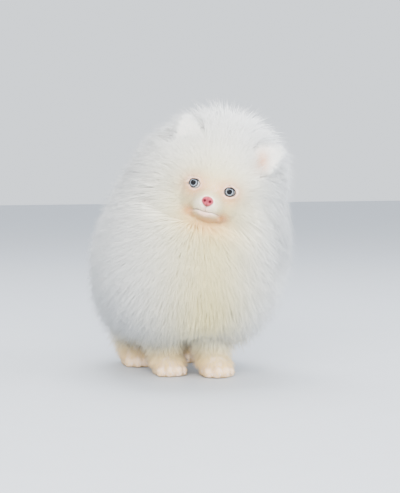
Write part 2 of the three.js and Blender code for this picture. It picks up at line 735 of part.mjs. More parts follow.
// The torso, cut away round the legs.
const torsoRadius = bodyRadius(TORSO_MIDDLE, CORE_SHARE);
const torsoPlanes = [NECK_PLANE, TAIL_PLANE];
const legNames = Object.keys(SOLES);
const growsOnTorso = (root) =>
  legNames.every((name) => legAt(name, root.z).distanceTo(root) > LEG_RADIUS + LEG_PARTING) &&
  torsoPlanes.every((surface) => depthBelow(surface, root) > ROOT_MARGIN);
const torsoLocks = coatLocks({
  roots: spreadRoots(TORSO_MIDDLE, torsoRadius, TORSO_SPACING, growsOnTorso),
  field: coat,
  lie: bodyLie,
  seed: 37,
  push: keeper(torsoPlanes, LOWEST_TIP),
});
const torsoCore = starSolid(TORSO_MIDDLE, torsoRadius, TORSO_FACES, upwards);
let torso = wasm.Manifold.union([torsoCore, ...torsoLocks]);
torso = torso.intersect(below(NECK_PLANE)).intersect(below(TAIL_PLANE));
for (const name of legNames) {
  torso = torso.subtract(wasm.Manifold.union([legSolid(name, GAP), ...fringe(name, GAP * 1.5)]));
}

const tailWhole = wasm.Manifold.union([loft(TAIL_PATH, 10, 8), ...tailLocks()]);
const tail = tailWhole.intersect(above(TAIL_PLANE)).intersect(below(NECK_PLANE));

const WHITE_COAT = new THREE.MeshStandardMaterial({ color: 0xf1f1ec, roughness: 0.9, metalness: 0 });
const CREAM_COAT = new THREE.MeshStandardMaterial({ color: 0xf2e6cf, roughness: 0.9, metalness: 0 });
const EYE = new THREE.MeshStandardMaterial({ color: 0x3a4350, roughness: 0.1, metalness: 0 });
const NOSE = new THREE.MeshStandardMaterial({ color: 0xd96f7a, roughness: 0.4, metalness: 0 });

const parts = [
  ["head", head, WHITE_COAT],
  ["neck", neck, WHITE_COAT],
  ["torso", torso, WHITE_COAT],
  ["tail", tail, WHITE_COAT],
  ["nose", noseSolid(), NOSE],
];
for (const [side, name] of [[1, "left"], [-1, "right"]]) {
  parts.push(["eye_" + name, eyeSolid(side, 0), EYE]);
}
for (const ear of EARS) parts.push([ear.name, earSolid(ear, 0), CREAM_COAT]);
for (const name of legNames) {
  parts.push([name, wasm.Manifold.union([legSolid(name, 0), ...fringe(name, 0)]), CREAM_COAT]);
}

const dog = new THREE.Group();
for (const [name, solid, material] of parts) {
  const mesh = new THREE.Mesh(geometryOf(largest(solid)), material);
  mesh.name = name;
  dog.add(mesh);
}

// The origin goes under the middle of the box.
const box = new THREE.Box3().setFromObject(dog);
const middle = box.getCenter(new THREE.Vector3());
dog.position.set(-middle.x, -middle.y, -box.min.z);

export default dog;
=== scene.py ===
"""A life-size still model of a standing young pomeranian with a full white stand-off coat.

The dog is described by smooth distance fields in millimetres, in its own frame: it faces -Y, its left side
is +X and +Z is up. One skin is meshed from the fields. The coat is solid tufts that grow from that skin to
the surface of the coat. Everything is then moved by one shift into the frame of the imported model.
"""

from __future__ import annotations

import logging
from dataclasses import dataclass, field
from enum import Enum, IntEnum
from typing import Callable, Iterable

import bpy
import numpy as np
from mathutils import Matrix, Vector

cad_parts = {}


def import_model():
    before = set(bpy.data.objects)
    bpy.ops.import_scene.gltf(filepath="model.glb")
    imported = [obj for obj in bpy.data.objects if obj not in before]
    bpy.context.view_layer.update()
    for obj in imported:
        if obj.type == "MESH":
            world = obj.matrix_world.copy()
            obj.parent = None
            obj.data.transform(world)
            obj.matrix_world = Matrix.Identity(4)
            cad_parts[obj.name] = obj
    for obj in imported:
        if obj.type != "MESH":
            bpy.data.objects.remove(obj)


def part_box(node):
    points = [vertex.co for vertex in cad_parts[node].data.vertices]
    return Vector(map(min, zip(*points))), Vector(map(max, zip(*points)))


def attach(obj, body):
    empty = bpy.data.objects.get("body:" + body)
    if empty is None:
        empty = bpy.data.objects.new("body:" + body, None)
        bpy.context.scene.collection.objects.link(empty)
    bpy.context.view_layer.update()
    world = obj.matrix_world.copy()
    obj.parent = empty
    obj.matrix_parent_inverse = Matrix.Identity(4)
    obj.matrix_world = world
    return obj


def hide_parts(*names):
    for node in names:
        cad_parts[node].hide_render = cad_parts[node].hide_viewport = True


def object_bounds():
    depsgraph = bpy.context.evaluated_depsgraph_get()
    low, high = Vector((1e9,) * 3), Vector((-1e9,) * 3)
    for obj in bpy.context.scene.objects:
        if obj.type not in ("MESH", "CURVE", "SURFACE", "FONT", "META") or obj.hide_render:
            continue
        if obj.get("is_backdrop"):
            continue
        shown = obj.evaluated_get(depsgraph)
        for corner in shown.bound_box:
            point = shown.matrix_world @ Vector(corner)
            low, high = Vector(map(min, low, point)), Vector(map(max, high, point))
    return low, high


LOG = logging.getLogger("pomeranian")
MM = 0.001  # metres in a millimetre
HALVINGS = 18  # of the longest distance, where a surface is looked for along a way
FIRST_SEED = 101  # of the first stretch of coat, and one more for each after it
Field = Callable[[np.ndarray], np.ndarray]


def to_linear(hex_colour: str) -> tuple[float, float, float, float]:
    """Turns an sRGB hex colour to linear light.

    Args:
        hex_colour: six hex digits after a hash sign.

    Returns:
        Red, green, blue and an alpha of one.
    """
    parts = [int(hex_colour[i : i + 2], 16) / 255 for i in (1, 3, 5)]
    linear = [c / 12.92 if c <= 0.04045 else ((c + 0.055) / 1.055) ** 2.4 for c in parts]
    return (*linear, 1.0)


def smoothstep(x: np.ndarray, low: float, high: float) -> np.ndarray:
    """A soft step from 0 at low to 1 at high, by 3t squared minus 2t cubed."""
    t = np.clip((x - low) / (high - low), 0, 1)
    return t * t * (3 - 2 * t)


def unit(v: np.ndarray) -> np.ndarray:
    """Vectors scaled to length one."""
    return v / np.maximum(np.linalg.norm(v, axis=-1, keepdims=True), 1e-9)


def turn(axis: str, degrees: float) -> np.ndarray:
    """The 3 by 3 matrix of a turn about x, y or z, by the right-hand rule."""
    c, s = np.cos(np.radians(degrees)), np.sin(np.radians(degrees))
    return {
        "x": np.array([[1, 0, 0], [0, c, -s], [0, s, c]]),
        "y": np.array([[c, 0, s], [0, 1, 0], [-s, 0, c]]),
        "z": np.array([[c, -s, 0], [s, c, 0], [0, 0, 1]]),
    }[axis]


def ellipsoids(points: np.ndarray, forms: Iterable, blend: float) -> np.ndarray:
    """The distance to ellipsoids that flow into each other.

    Each distance is q(q - 1) over the length of p / r squared, where q is the length of p / r. They are
    joined as minus the blend times the logarithm of the sum of exp(-distance / blend).

    Args:
        points: places, one a row.
        forms: a centre and three radii for each ellipsoid.
        blend: how far a join is filled.

    Returns:
        One distance for each place, negative inside.
    """
    total = np.zeros(len(points))
    for centre, radii in forms:
        p = points - np.array(centre)
        r = np.array(radii)
        near = np.linalg.norm(p / r, axis=1)
        far = np.linalg.norm(p / r**2, axis=1)
        total += np.exp(np.clip(-near * (near - 1) / np.maximum(far, 1e-6) / blend, -60, 60))
    return -blend * np.log(np.maximum(total, 1e-26))


def join(a: np.ndarray, b: np.ndarray, blend: float) -> np.ndarray:
    """The smooth union of two fields of distances, rounded over the blend."""
    h = np.clip(0.5 + 0.5 * (b - a) / blend, 0, 1)
    return b * (1 - h) + a * h - blend * h * (1 - h)


def carve(a: np.ndarray, b: np.ndarray, blend: float) -> np.ndarray:
    """A field with another cut out of it, rounded over the blend."""
    return -join(-a, b, blend)


def gradient(f: Field, p: np.ndarray, step: float) -> np.ndarray:
    """The direction in which a field grows fastest, from differences over a step each way.

    Args:
        f: the field.
        p: places, one a row.
        step: how far each way it is read.

    Returns:
        Unit vectors.
    """
    g = np.empty_like(p)
    for axis in range(3):
        d = np.zeros(3)
        d[axis] = step
        g[:, axis] = f(p + d) - f(p - d)
    return unit(g)


def reach(start: np.ndarray, way: np.ndarray, f: Field, furthest: float) -> np.ndarray:
    """How far from each start, along its way, a field turns positive, found by halving.

    Args:
        start: places, one a row, or one place.
        way: unit vectors, one a row.
        f: the field.
        furthest: the longest distance tried.

    Returns:
        One distance for each way.
    """
    low = np.zeros(len(way))
    high = np.full(len(way), furthest)
    for _ in range(HALVINGS):
        half = (low + high) / 2
        inside = f(start + way * half[:, None]) < 0
        low = np.where(inside, half, low)
        high = np.where(inside, high, half)
    return low


def along_path(p: np.ndarray, path: np.ndarray, radii: np.ndarray | float) -> np.ndarray:
    """The distance to a round bar along straight stretches, whose radius changes evenly on each.

    Args:
        p: places, one a row.
        path: points down the bar's middle.
        radii: its radius, or one at each point.

    Returns:
        Distances, negative inside.
    """
    radii = np.broadcast_to(radii, len(path))
    best = np.full(len(p), 1e9)
    for a, b, ra, rb in zip(path[:-1], path[1:], radii[:-1], radii[1:]):
        t = np.clip((p - a) @ (b - a) / max((b - a) @ (b - a), 1e-9), 0, 1)
        best = np.minimum(best, np.linalg.norm(p - a - t[:, None] * (b - a), axis=1) - ra - t * (rb - ra))
    return best


@dataclass
class Head:
    """The head in its own frame: x to the dog's left, -y out of the face, z up, from between the eyes."""

    # Where it is in the dog's frame, and its turns in degrees.
    eyes_middle: tuple = (1.7, -70.0, 207.8)
    yaw: float = -26.0
    roll: float = 14.4
    pitch: float = 2.0
    # The middle that the coat's reach is told from, and the way that the face looks.
    middle: tuple = (0.0, 14.0, -4.0)
    forward: tuple = (0.0, -0.97, -0.24)
    # The face's down, the crown's coat, and the degrees off the face over which crown and ruff grow long.
    face_down: float = 2.5
    crown_coat: float = 60.0
    crown_edges: tuple = (60.0, 122.0)
    ruff_edges: tuple = (54.0, 92.0)
    # Skull with cheeks, and muzzle with lips and jaw: a centre and three radii each.
    skull: tuple = (
        ((0, 25, 9), (32, 36, 33)),
        ((0, 6, 8), (22, 16, 16)),
        ((16, 9, -15), (15, 18, 16)),
        ((-16, 9, -15), (15, 18, 16)),
    )
    muzzle: tuple = (
        ((0, -10, -14), (11, 18, 8.5)),
        ((5.5, -17, -19.5), (7, 7.5, 6)),
        ((-5.5, -17, -19.5), (7, 7.5, 6)),
        ((0, -7, -26.5), (9, 15.5, 6)),
    )
    blend: float = 3.6
    muzzle_join: float = 14.0
    # Eyes, and lids whose oval opening is flatter above, set a little outwards and slanted.
    eye_spacing: float = 37.0
    eye_radius: float = 7.6
    eye_depth: float = -4.0
    eye_gap: float = 0.1
    lid: float = 1.15
    lid_join: float = 3.0
    lid_edge: float = 0.7
    lid_opening: tuple = (6.0, 5.5)
    upper_lid: float = 1.2
    lid_outwards: float = 0.3
    lid_slant: float = 0.06
    orbit: tuple = (14.0, 9.0, 13.0)
    orbit_off_eye: tuple = (-1.0, 4.5, 0.5)
    orbit_join: float = 6.0
    # Nose and mouth.
    nose_at: tuple = (0.0, -30.0, -15.4)
    nose_size: tuple = (6.3, 6.0, 5.5)
    nose_seat: float = 0.9
    mouth_corner: tuple = (15.5, -27.0)
    mouth_middle: float = -26.2
    mouth_bow: float = 0.7
    mouth_points: int = 17
    mouth_groove: float = 0.4
    lip_drop: float = 2.8
    lip_width: float = 0.9
    lip_radius: float = 1.3
    lip_join: float = 3.0
    # How far round the nose and the lids' opening no hair grows, as a share of their size.
    bare_nose: float = 1.22
    bare_lids: float = 1.42
    # Ears: the middle of each with its lean outwards in radians, then half its width, height and thickness.
    ears: tuple = (((45.0, 12.0, 42.0), 0.85), ((-38.0, 12.0, 47.0), -0.5))
    ear_size: tuple = (14.0, 20.0, 3.0)
    ear_taper: float = 0.32
    ear_curl: float = 0.008

    def __post_init__(self) -> None:
        """Works out the head's turn, and lays the line of the mouth and the lower lip on the muzzle.

        The line's height is a parabola from its middle to its corners, with a bow of the sine squared.
        """
        self.matrix = turn("z", self.yaw) @ turn("y", self.roll) @ turn("x", -self.pitch)
        corner, low = self.mouth_corner
        t = np.linspace(-1, 1, self.mouth_points)
        bow = self.mouth_bow * np.sin(np.pi * np.abs(t)) ** 2
        height = self.mouth_middle + (low - self.mouth_middle) * t**2 + bow
        self.line = self.on_muzzle(corner * t, height, 0.0)
        self.lip = self.on_muzzle(self.lip_width * corner * t, height - self.lip_drop, 1.0)

    def plain(self, q: np.ndarray) -> np.ndarray:
        """The head without its features: the skull, with the muzzle flowing out of it."""
        skull = ellipsoids(q, self.skull, self.blend)
        return join(skull, ellipsoids(q, self.muzzle, self.blend), self.muzzle_join)

    def on_muzzle(self, x: np.ndarray, z: np.ndarray, sunk: float) -> np.ndarray:
        """Places on the front of the plain head at given widths and heights, sunk by a little.

        Args:
            x: how far each is to the left.
            z: how far up.
            sunk: how far behind the surface.

        Returns:
            Places in the head's frame.
        """
        start = np.stack([x, np.full(len(x), 6.0), z], 1)
        ahead = np.tile([0.0, -1.0, 0.0], (len(x), 1))
        start[:, 1] -= reach(start, ahead, self.plain, 60) - sunk
        return start

    def out(self, p: np.ndarray) -> np.ndarray:
        """Places in the head's frame as places in the dog's."""
        return np.atleast_2d(p) @ self.matrix.T + np.array(self.eyes_middle)

    def back(self, p: np.ndarray) -> np.ndarray:
        """Places in the dog's frame as places in the head's."""
        return (p - np.array(self.eyes_middle)) @ self.matrix

    def eye(self, side: int, off: tuple = (0.0, 0.0, 0.0)) -> np.ndarray:
        """The middle of an eyeball in the head's frame, or a place off it: outwards, behind and above."""
        return np.array([side * (self.eye_spacing / 2 + off[0]), self.eye_depth + off[1], off[2]])

    def off_face(self, local: np.ndarray) -> np.ndarray:
        """Degrees between the face's middle direction and each place, seen from the head's middle."""
        way = unit(local - np.array(self.middle))
        return np.degrees(np.arccos(np.clip(way @ unit(np.array(self.forward)), -1, 1)))

    def face(self, q: np.ndarray) -> np.ndarray:
        """The head's skin: skull and muzzle with eye sockets, lids, the mouth and both lips.

        Args:
            q: places in the head's frame.

        Returns:
            Distances, negative inside.
        """
        d = self.plain(q)
        for side in (1, -1):
            from_eye = np.linalg.norm(q - self.eye(side), axis=1)
            mound = ellipsoids(q, [(self.eye(side, self.orbit_off_eye), self.orbit)], 1.0)
            d = join(d, mound, self.orbit_join)
            d = join(d, from_eye - self.eye_radius - self.lid, self.lid_join)
            d = carve(d, from_eye - self.eye_radius - self.eye_gap, 0.3)
            oval = (self.on_lids(q, side) - 1) * self.lid_opening[1]
            d = carve(d, np.maximum(oval, q[:, 1] - self.eye_depth + 2), self.lid_edge)
        d = join(d, along_path(q, self.lip, self.lip_radius), self.lip_join)
        d = carve(d, along_path(q, self.line, self.mouth_groove), 0.9)
        seat = self.nose_seat * np.array(self.nose_size)
        return carve(d, ellipsoids(q, [(self.nose_at, seat)], 1.0), 0.6)

    def on_lids(self, q: np.ndarray, side: int) -> np.ndarray:
        """How far places lie from the middle of an eye's opening: 1 on its edge, which is a slanted oval.

        Args:
            q: places in the head's frame.
            side: 1 for the dog's left eye, -1 for its right.

        Returns:
            One number for each place.
        """
        p = q - self.eye(side)
        across, up = p[:, 0] - side * self.lid_outwards, p[:, 2] - side * self.lid_slant * p[:, 0]
        up = np.where(up > 0, up * self.upper_lid, up)
        return np.hypot(across / self.lid_opening[0], up / self.lid_opening[1])

    def bare(self, q: np.ndarray) -> np.ndarray:
        """Where no hair grows: the rims of the lids, the eye sockets, the nose and the line of the mouth.

        Args:
            q: places in the head's frame.

        Returns:
            True for each bare place.
        """
        from_nose = np.linalg.norm((q - np.array(self.nose_at)) / np.array(self.nose_size), axis=1)
        found = (from_nose < self.bare_nose) | (along_path(q, self.line, 0.5) < 0.6)
        for side in (1, -1):
            from_eye = np.linalg.norm(q - self.eye(side), axis=1)
            found |= from_eye < self.eye_radius + 0.6
            found |= (from_eye < 12) & (self.on_lids(q, side) < self.bare_lids)
        return found

    def ear(self, q: np.ndarray, number: int) -> np.ndarray:
        """One cupped ear: a thin leaf that curls forward at both edges.

        Args:
            q: places in the head's frame.
            number: 0 for the left ear, 1 for the right.

        Returns:
            Distances, negative inside.
        """
        wide, tall, thick = self.ear_size
        at, lean = self.ears[number]
        c, s = np.cos(lean), np.sin(lean)
        p = q - np.array(at)
        u, w = c * p[:, 0] - s * p[:, 2], s * p[:, 0] + c * p[:, 2]
        narrow = wide * (1 - self.ear_taper * np.clip(w / tall, 0, 1))
        leaf = (np.hypot(u / narrow, w / tall) - 1) * wide * 0.7
        slab = np.abs(p[:, 1] + self.ear_curl * u**2) - thick
        return -join(-leaf, -slab, 1.5)

    def ear_out(self, q: np.ndarray) -> tuple[np.ndarray, np.ndarray]:
        """The way out to the rim of the nearer ear, and how near each place is: 0 in the middle, 1 on it.

        Args:
            q: places in the head's frame.

        Returns:
            Unit vectors, and one number for each place.
        """
        number = (q[:, 0] < 0).astype(int)
        lean = np.array([ear[1] for ear in self.ears])[number]
        p = q - np.array([ear[0] for ear in self.ears])[number]
        c, s = np.cos(lean), np.sin(lean)
        wide, tall, _ = self.ear_size
        u, w = (c * p[:, 0] - s * p[:, 2]) / wide, (s * p[:, 0] + c * p[:, 2]) / tall
        return unit(np.stack([c * u + s * w, 0 * u, c * w - s * u], 1)), np.hypot(u, w)


@dataclass
class Dog:
    """The whole dog as fields in its own frame, in millimetres."""

    head: Head = field(default_factory=Head)
    skin_share: float = 0.34
    flesh_blend: float = 14.0
    coat_blend: float = 16.0
    flesh: tuple = (
        ((0, -8, 128), (42, 46, 50)),
        ((0, 35, 130), (42, 58, 46)),
        ((0, 84, 132), (38, 38, 40)),
        ((0, -22, 178), (30, 30, 42)),
    )
    coat: tuple = (
        ((2, -26, 122), (105, 80, 96)),
        ((0, 26, 122), (94, 84, 96)),
        ((-4, 74, 124), (74, 80, 90)),
        ((10, -16, 176), (97, 66, 80)),
        ((6, -20, 230), (72, 54, 58)),
        ((-27, 84, 70), (44, 48, 46)),
        ((28, 88, 70), (44, 48, 46)),
        ((30, 8, 84), (59, 57, 51)),
    )
    soles: dict = field(
        default_factory=lambda: {
            "foreleg_right": (-22, 5),
            "foreleg_left": (23, -22),
            "hindleg_right": (-31, 85),
            "hindleg_left": (31, 95),
        }
    )
    leg_tops: dict = field(
        default_factory=lambda: {
            "foreleg_right": (-25, 4),
            "foreleg_left": (25, -2),
            "hindleg_right": (-27, 74),
            "hindleg_left": (27, 78),
        }
    )
    elbow: float = 88.0
    hock: float = 42.0
    leg_radius: float = 13.2
    toes: tuple = ((-11.5, -14.5, 6.5), (-4.2, -19.5, 7.2), (4.2, -19.5, 7.2), (11.5, -14.5, 6.5))
    tail: tuple = ((0, 112, 172), (1, 121, 197), (2, 100, 213), (3, 76, 218), (3, 56, 219))
    tail_radii: tuple = (11.0, 12.0, 12.0, 11.0, 6.0)
    leg_taper: tuple = (1.25, 1.1, 1.0, 0.95)
    paw: tuple = (16.5, 19.5, 16.0)
    toe_shape: tuple = (0.9, 1.12, 1.0)
    # The hem: its height at the sides, its rise in front, half the width of that rise, and where it starts.
    hem_height: float = 21.0
    hem_rise: float = 23.0
    hem_width: float = 38.0
    hem_front: tuple = (-34.0, -4.0)
    table_size: tuple = (91, 180)

    def __post_init__(self) -> None:
        """Tabulates how far the head's coat reaches in each direction."""
        rows, columns = self.table_size
        round_about = np.linspace(-np.pi, np.pi, columns, endpoint=False)
        theta, phi = np.meshgrid(np.linspace(0, np.pi, rows), round_about, indexing="ij")
        way = np.stack([np.sin(theta) * np.cos(phi), np.sin(theta) * np.sin(phi), np.cos(theta)], -1)
        way = way.reshape(-1, 3)
        middle = np.array(self.head.middle)
        skin = reach(middle, way, self.head.plain, 90) + self.head.face_down
        body = reach(middle, way, lambda q: self.coat_field(self.head.out(q)), 160)
        off = self.head.off_face(middle + way)
        crown = skin + self.head.crown_coat * smoothstep(off, *self.head.crown_edges)
        ruff = skin + np.maximum(body - skin, 0) * smoothstep(off, *self.head.ruff_edges)
        self.reaches = np.stack([skin, np.maximum(crown, ruff)], -1).reshape(rows, columns, 2)

    def coat_field(self, p: np.ndarray) -> np.ndarray:
        """The surface of the tips of the body's coat."""
        return ellipsoids(p, self.coat, self.coat_blend)

    def head_reach(self, local: np.ndarray) -> tuple[np.ndarray, np.ndarray, np.ndarray]:
        """Looks up the head's table for places in the head's frame, blending the four nearest entries.

        Args:
            local: places in the head's frame.

        Returns:
            The distance of each place from the head's middle, of the skin and of the tips of the coat.
        """
        rows, columns, _ = self.reaches.shape
        v = local - np.array(self.head.middle)
        distance = np.linalg.norm(v, axis=1)
        w = unit(v)
        row = np.arccos(np.clip(w[:, 2], -1, 1)) / np.pi * (rows - 1)
        column = (np.arctan2(w[:, 1], w[:, 0]) / (2 * np.pi) + 0.5) * columns
        r0 = np.clip(row.astype(int), 0, rows - 2)
        c0 = column.astype(int) % columns
        fr, fc = (row - r0)[:, None], (column - np.floor(column))[:, None]
        c1 = (c0 + 1) % columns
        top = self.reaches[r0, c0] * (1 - fc) + self.reaches[r0, c1] * fc
        low = self.reaches[r0 + 1, c0] * (1 - fc) + self.reaches[r0 + 1, c1] * fc
        found = top * (1 - fr) + low * fr
        return distance, found[:, 0], found[:, 1]

    def hem(self, p: np.ndarray) -> np.ndarray:
        """The height where the long coat ends: lower at the sides, raised over and between the forelegs."""
        bell = np.exp(-((p[:, 0] / self.hem_width) ** 4))
        return self.hem_height + self.hem_rise * bell * smoothstep(-p[:, 1], *self.hem_front)

    def tips(self, p: np.ndarray) -> np.ndarray:
        """The surface that the tips of the whole coat reach: the body's and the head's, above the hem."""
        distance, _, tips = self.head_reach(self.head.back(p))
        return np.maximum(np.minimum(self.coat_field(p), distance - tips), self.hem(p) - p[:, 2])

    def leg_path(self, name: str) -> np.ndarray:
        """Four points down the middle of a leg.

        Args:
            name: the leg's node.

        Returns:
            The points, from the elbow or the knee down.
        """
        x, y = self.soles[name]
        tx, ty = self.leg_tops[name]
        hind = name.startswith("hind")
        bend = (x * 0.97, y + 17, self.hock) if hind else (x * 1.02, y + 8, self.hock)
        knee = ((tx + bend[0]) / 2, (ty + bend[1]) / 2, 65)
        return np.array([(tx, ty, self.elbow), knee, bend, (x, y + 4, 11)])

    def legs(self, p: np.ndarray) -> np.ndarray:
        """The four legs with their paws and toes, flat on the floor.

        Args:
            p: places in the dog's frame.

        Returns:
            Distances, negative inside.
        """
        best = np.full(len(p), 1e3)
        for name, (x, y) in self.soles.items():
            d = along_path(p, self.leg_path(name), self.leg_radius * np.array(self.leg_taper))
            d = join(d, ellipsoids(p, [((x, y - 3, 9), self.paw)], 1.0), 4.0)
            for across, ahead, radius in self.toes:
                toe = ((x + across, y + ahead, radius * 0.86), radius * np.array(self.toe_shape))
                d = join(d, ellipsoids(p, [toe], 1.0), 1.6)
            best = np.minimum(best, d)
        return -join(-best, p[:, 2] - 0.6, 1.5)

    def on_tail(self, p: np.ndarray) -> np.ndarray:
        """The distance to the flesh of the tail."""
        return along_path(p, np.array(self.tail, float), np.array(self.tail_radii))

    def skin(self, p: np.ndarray) -> np.ndarray:
        """The one skin of the whole dog.

        On the body it lies a fixed share of the way from the flesh to the tips of the coat, on the face it is
        the flesh itself, and legs, tail and ears flow out of it.

        Args:
            p: places in the dog's frame.

        Returns:
            Distances, negative inside.
        """
        body = ellipsoids(p, self.flesh, self.flesh_blend)
        body = body * (1 - self.skin_share) + self.coat_field(p) * self.skin_share
        q = self.head.back(p)
        _, skin, tips = self.head_reach(q)
        head = self.head.face(q) - self.skin_share * np.maximum(tips - skin, 0)
        whole = join(body, head, 6.0)
        for number in (0, 1):
            whole = join(whole, self.head.ear(q, number), 9.0)
        return join(join(whole, self.on_tail(p), 8.0), self.legs(p), 8.0)


def surface_net(f: Field, low: np.ndarray, high: np.ndarray, step: float) -> tuple[np.ndarray, np.ndarray]:
    """Meshes a field's zero surface with one vertex in each grid cell that it crosses.

    The vertex is the mean of the places where the cell's edges are crossed. Each crossed grid edge gives a
    quad of the four cells round it.

    Args:
        f: the field.
        low: the grid's lowest corner.
        high: its highest corner.
        step: the size of a cell.

    Returns:
        Vertices, and quads as rows of four indices.
    """
    axes = [np.arange(a, b + step, step) for a, b in zip(low, high)]
    shape = tuple(len(a) for a in axes)
    values = np.empty(shape, np.float32)
    yy, zz = np.meshgrid(axes[1], axes[2], indexing="ij")
    for i, x in enumerate(axes[0]):
        plane = np.stack([np.full(yy.size, x), yy.ravel(), zz.ravel()], 1)
        values[i] = f(plane).reshape(yy.shape)
    inside = values < 0
    count = np.zeros(tuple(n - 1 for n in shape), np.int8)
    corners = [(i, j, k) for i in (0, 1) for j in (0, 1) for k in (0, 1)]
    for i, j, k in corners:
        count += inside[i : shape[0] - 1 + i, j : shape[1] - 1 + j, k : shape[2] - 1 + k]
    cells = np.argwhere((count > 0) & (count < 8))
    number = np.full(count.shape, -1, np.int64)
    number[tuple(cells.T)] = np.arange(len(cells))
    total, hits = np.zeros((len(cells), 3)), np.zeros(len(cells))
    for a in corners:
        for axis in range(3):
            if a[axis] == 1:
                continue
            b = tuple(a[n] + (n == axis) for n in range(3))
            va, vb = values[tuple((cells + a).T)], values[tuple((cells + b).T)]
            crossed = (va < 0) != (vb < 0)
            t = np.where(crossed, va / np.where(crossed, va - vb, 1), 0)
            place = cells + np.array(a) + t[:, None] * (np.array(b) - np.array(a))
            total += np.where(crossed[:, None], place, 0)
            hits += crossed
    vertices = np.array(low) + step * total / hits[:, None]
    quads = []
    for axis in range(3):
        one, two = [n for n in range(3) if n != axis]
        nxt = np.take(inside, range(1, shape[axis]), axis)
        now = np.take(inside, range(shape[axis] - 1), axis)
        edges = np.argwhere(nxt != now)
        edges = edges[(edges[:, one] > 0) & (edges[:, two] > 0)]
        edges = edges[(edges[:, one] < shape[one] - 1) & (edges[:, two] < shape[two] - 1)]
        ring = []
        for d1, d2 in ((0, 0), (1, 0), (1, 1), (0, 1)):
            cell = edges.copy()
            cell[:, one] -= d1
            cell[:, two] -= d2
            ring.append(number[tuple(cell.T)])
        quad = np.stack(ring, 1)
        flip = now[tuple(edges.T)] != (axis == 1)
        quad[flip] = quad[flip][:, ::-1]
        quads.append(quad)
    return vertices, np.concatenate(quads)


def settle(f: Field, p: np.ndarray, rounds: int = 3) -> np.ndarray:
    """Moves places onto a field's zero surface, each by its distance along the field's slope.

    Args:
        f: the field.
        p: places near the surface.
        rounds: how often they are moved.

    Returns:
        The moved places.
    """
    for _ in range(rounds):
        p = p - gradient(f, p, 0.25) * np.clip(f(p), -0.8, 0.8)[:, None]
    return p


def new_object(name: str, data: bpy.types.ID) -> bpy.types.Object:
    """A linked object that holds the given data.

    Args:
        name: its name.
        data: a mesh, light or camera.

    Returns:
        The object.
    """
    made = bpy.data.objects.new(name, data)
    bpy.context.scene.collection.objects.link(made)
    return made


def mesh_object(name: str, vertices: np.ndarray, faces: np.ndarray, smooth: bool = True) -> bpy.types.Object:
    """Puts arrays into a new mesh object at the origin.

    Args:
        name: the piece's name.
        vertices: places in metres, one a row.
        faces: vertex numbers, one face a row, all with the same number of corners.
        smooth: whether faces are shaded smooth.

    Returns:
        The linked object.
    """
    mesh = bpy.data.meshes.new(name)
    corners = faces.shape[1]
    mesh.vertices.add(len(vertices))
    mesh.vertices.foreach_set("co", np.asarray(vertices, np.float32).ravel())
    mesh.loops.add(faces.size)
    mesh.loops.foreach_set("vertex_index", faces.ravel().astype(np.int32))
    mesh.polygons.add(len(faces))
    mesh.polygons.foreach_set("loop_start", np.arange(0, faces.size, corners, dtype=np.int32))
    mesh.polygons.foreach_set("use_smooth", np.full(len(faces), smooth))
    mesh.update(calc_edges=True)
    mesh.validate()
    return new_object(name, mesh)


def store_masks(made: bpy.types.Object, masks: np.ndarray) -> None:
    """Stores four numbers from 0 to 1 at each vertex, as the attribute that the coat's finish reads."""
    layer = made.data.color_attributes.new("Marks", "FLOAT_COLOR", "POINT")
    layer.data.foreach_set("color", np.asarray(masks, np.float32).ravel())


class Slot(Enum):
    """The record's material slots."""

    COAT = "coat"
    LEGS = "leg_coat"
    EARS = "ear_skin"
    EYE = "eye"
    NOSE = "nose_skin"


def add_node(
    tree: bpy.types.NodeTree, kind: str, settings: dict | None = None, links: dict | None = None
) -> bpy.types.Node:
    """Adds a shader node, sets what it holds and links its inputs.

    Args:
        tree: the material's node tree.
        kind: the node's type.
        settings: values of its properties or, under a number or socket name, of its inputs.
        links: output sockets, by the number or name of the input that each feeds.

    Returns:
        The node.
    """
    node = tree.nodes.new(kind)
    for key, value in (settings or {}).items():
        if isinstance(key, str) and hasattr(node, key):
            setattr(node, key, value)
        else:
            node.inputs[key].default_value = value
    for key, source in (links or {}).items():
        tree.links.new(source, node.inputs[key])
    return node


def new_material(name: str) -> tuple[bpy.types.Material, bpy.types.NodeTree]:
    """A new material, and its node tree, emptied.

    Args:
        name: its name.

    Returns:
        The material and the tree.
    """
    material = bpy.data.materials.new(name)
    material.use_nodes = True
    material.node_tree.nodes.clear()
    return material, material.node_tree


def grained(tree: bpy.types.NodeTree, kind: str, grain_mm: float) -> bpy.types.Node:
    """Adds a texture on Object coordinates, with a grain of a real size in millimetres."""
    place = add_node(tree, "ShaderNodeTexCoord")
    return add_node(tree, kind, {"Scale": 1 / (grain_mm * MM)}, {0: place.outputs["Object"]})


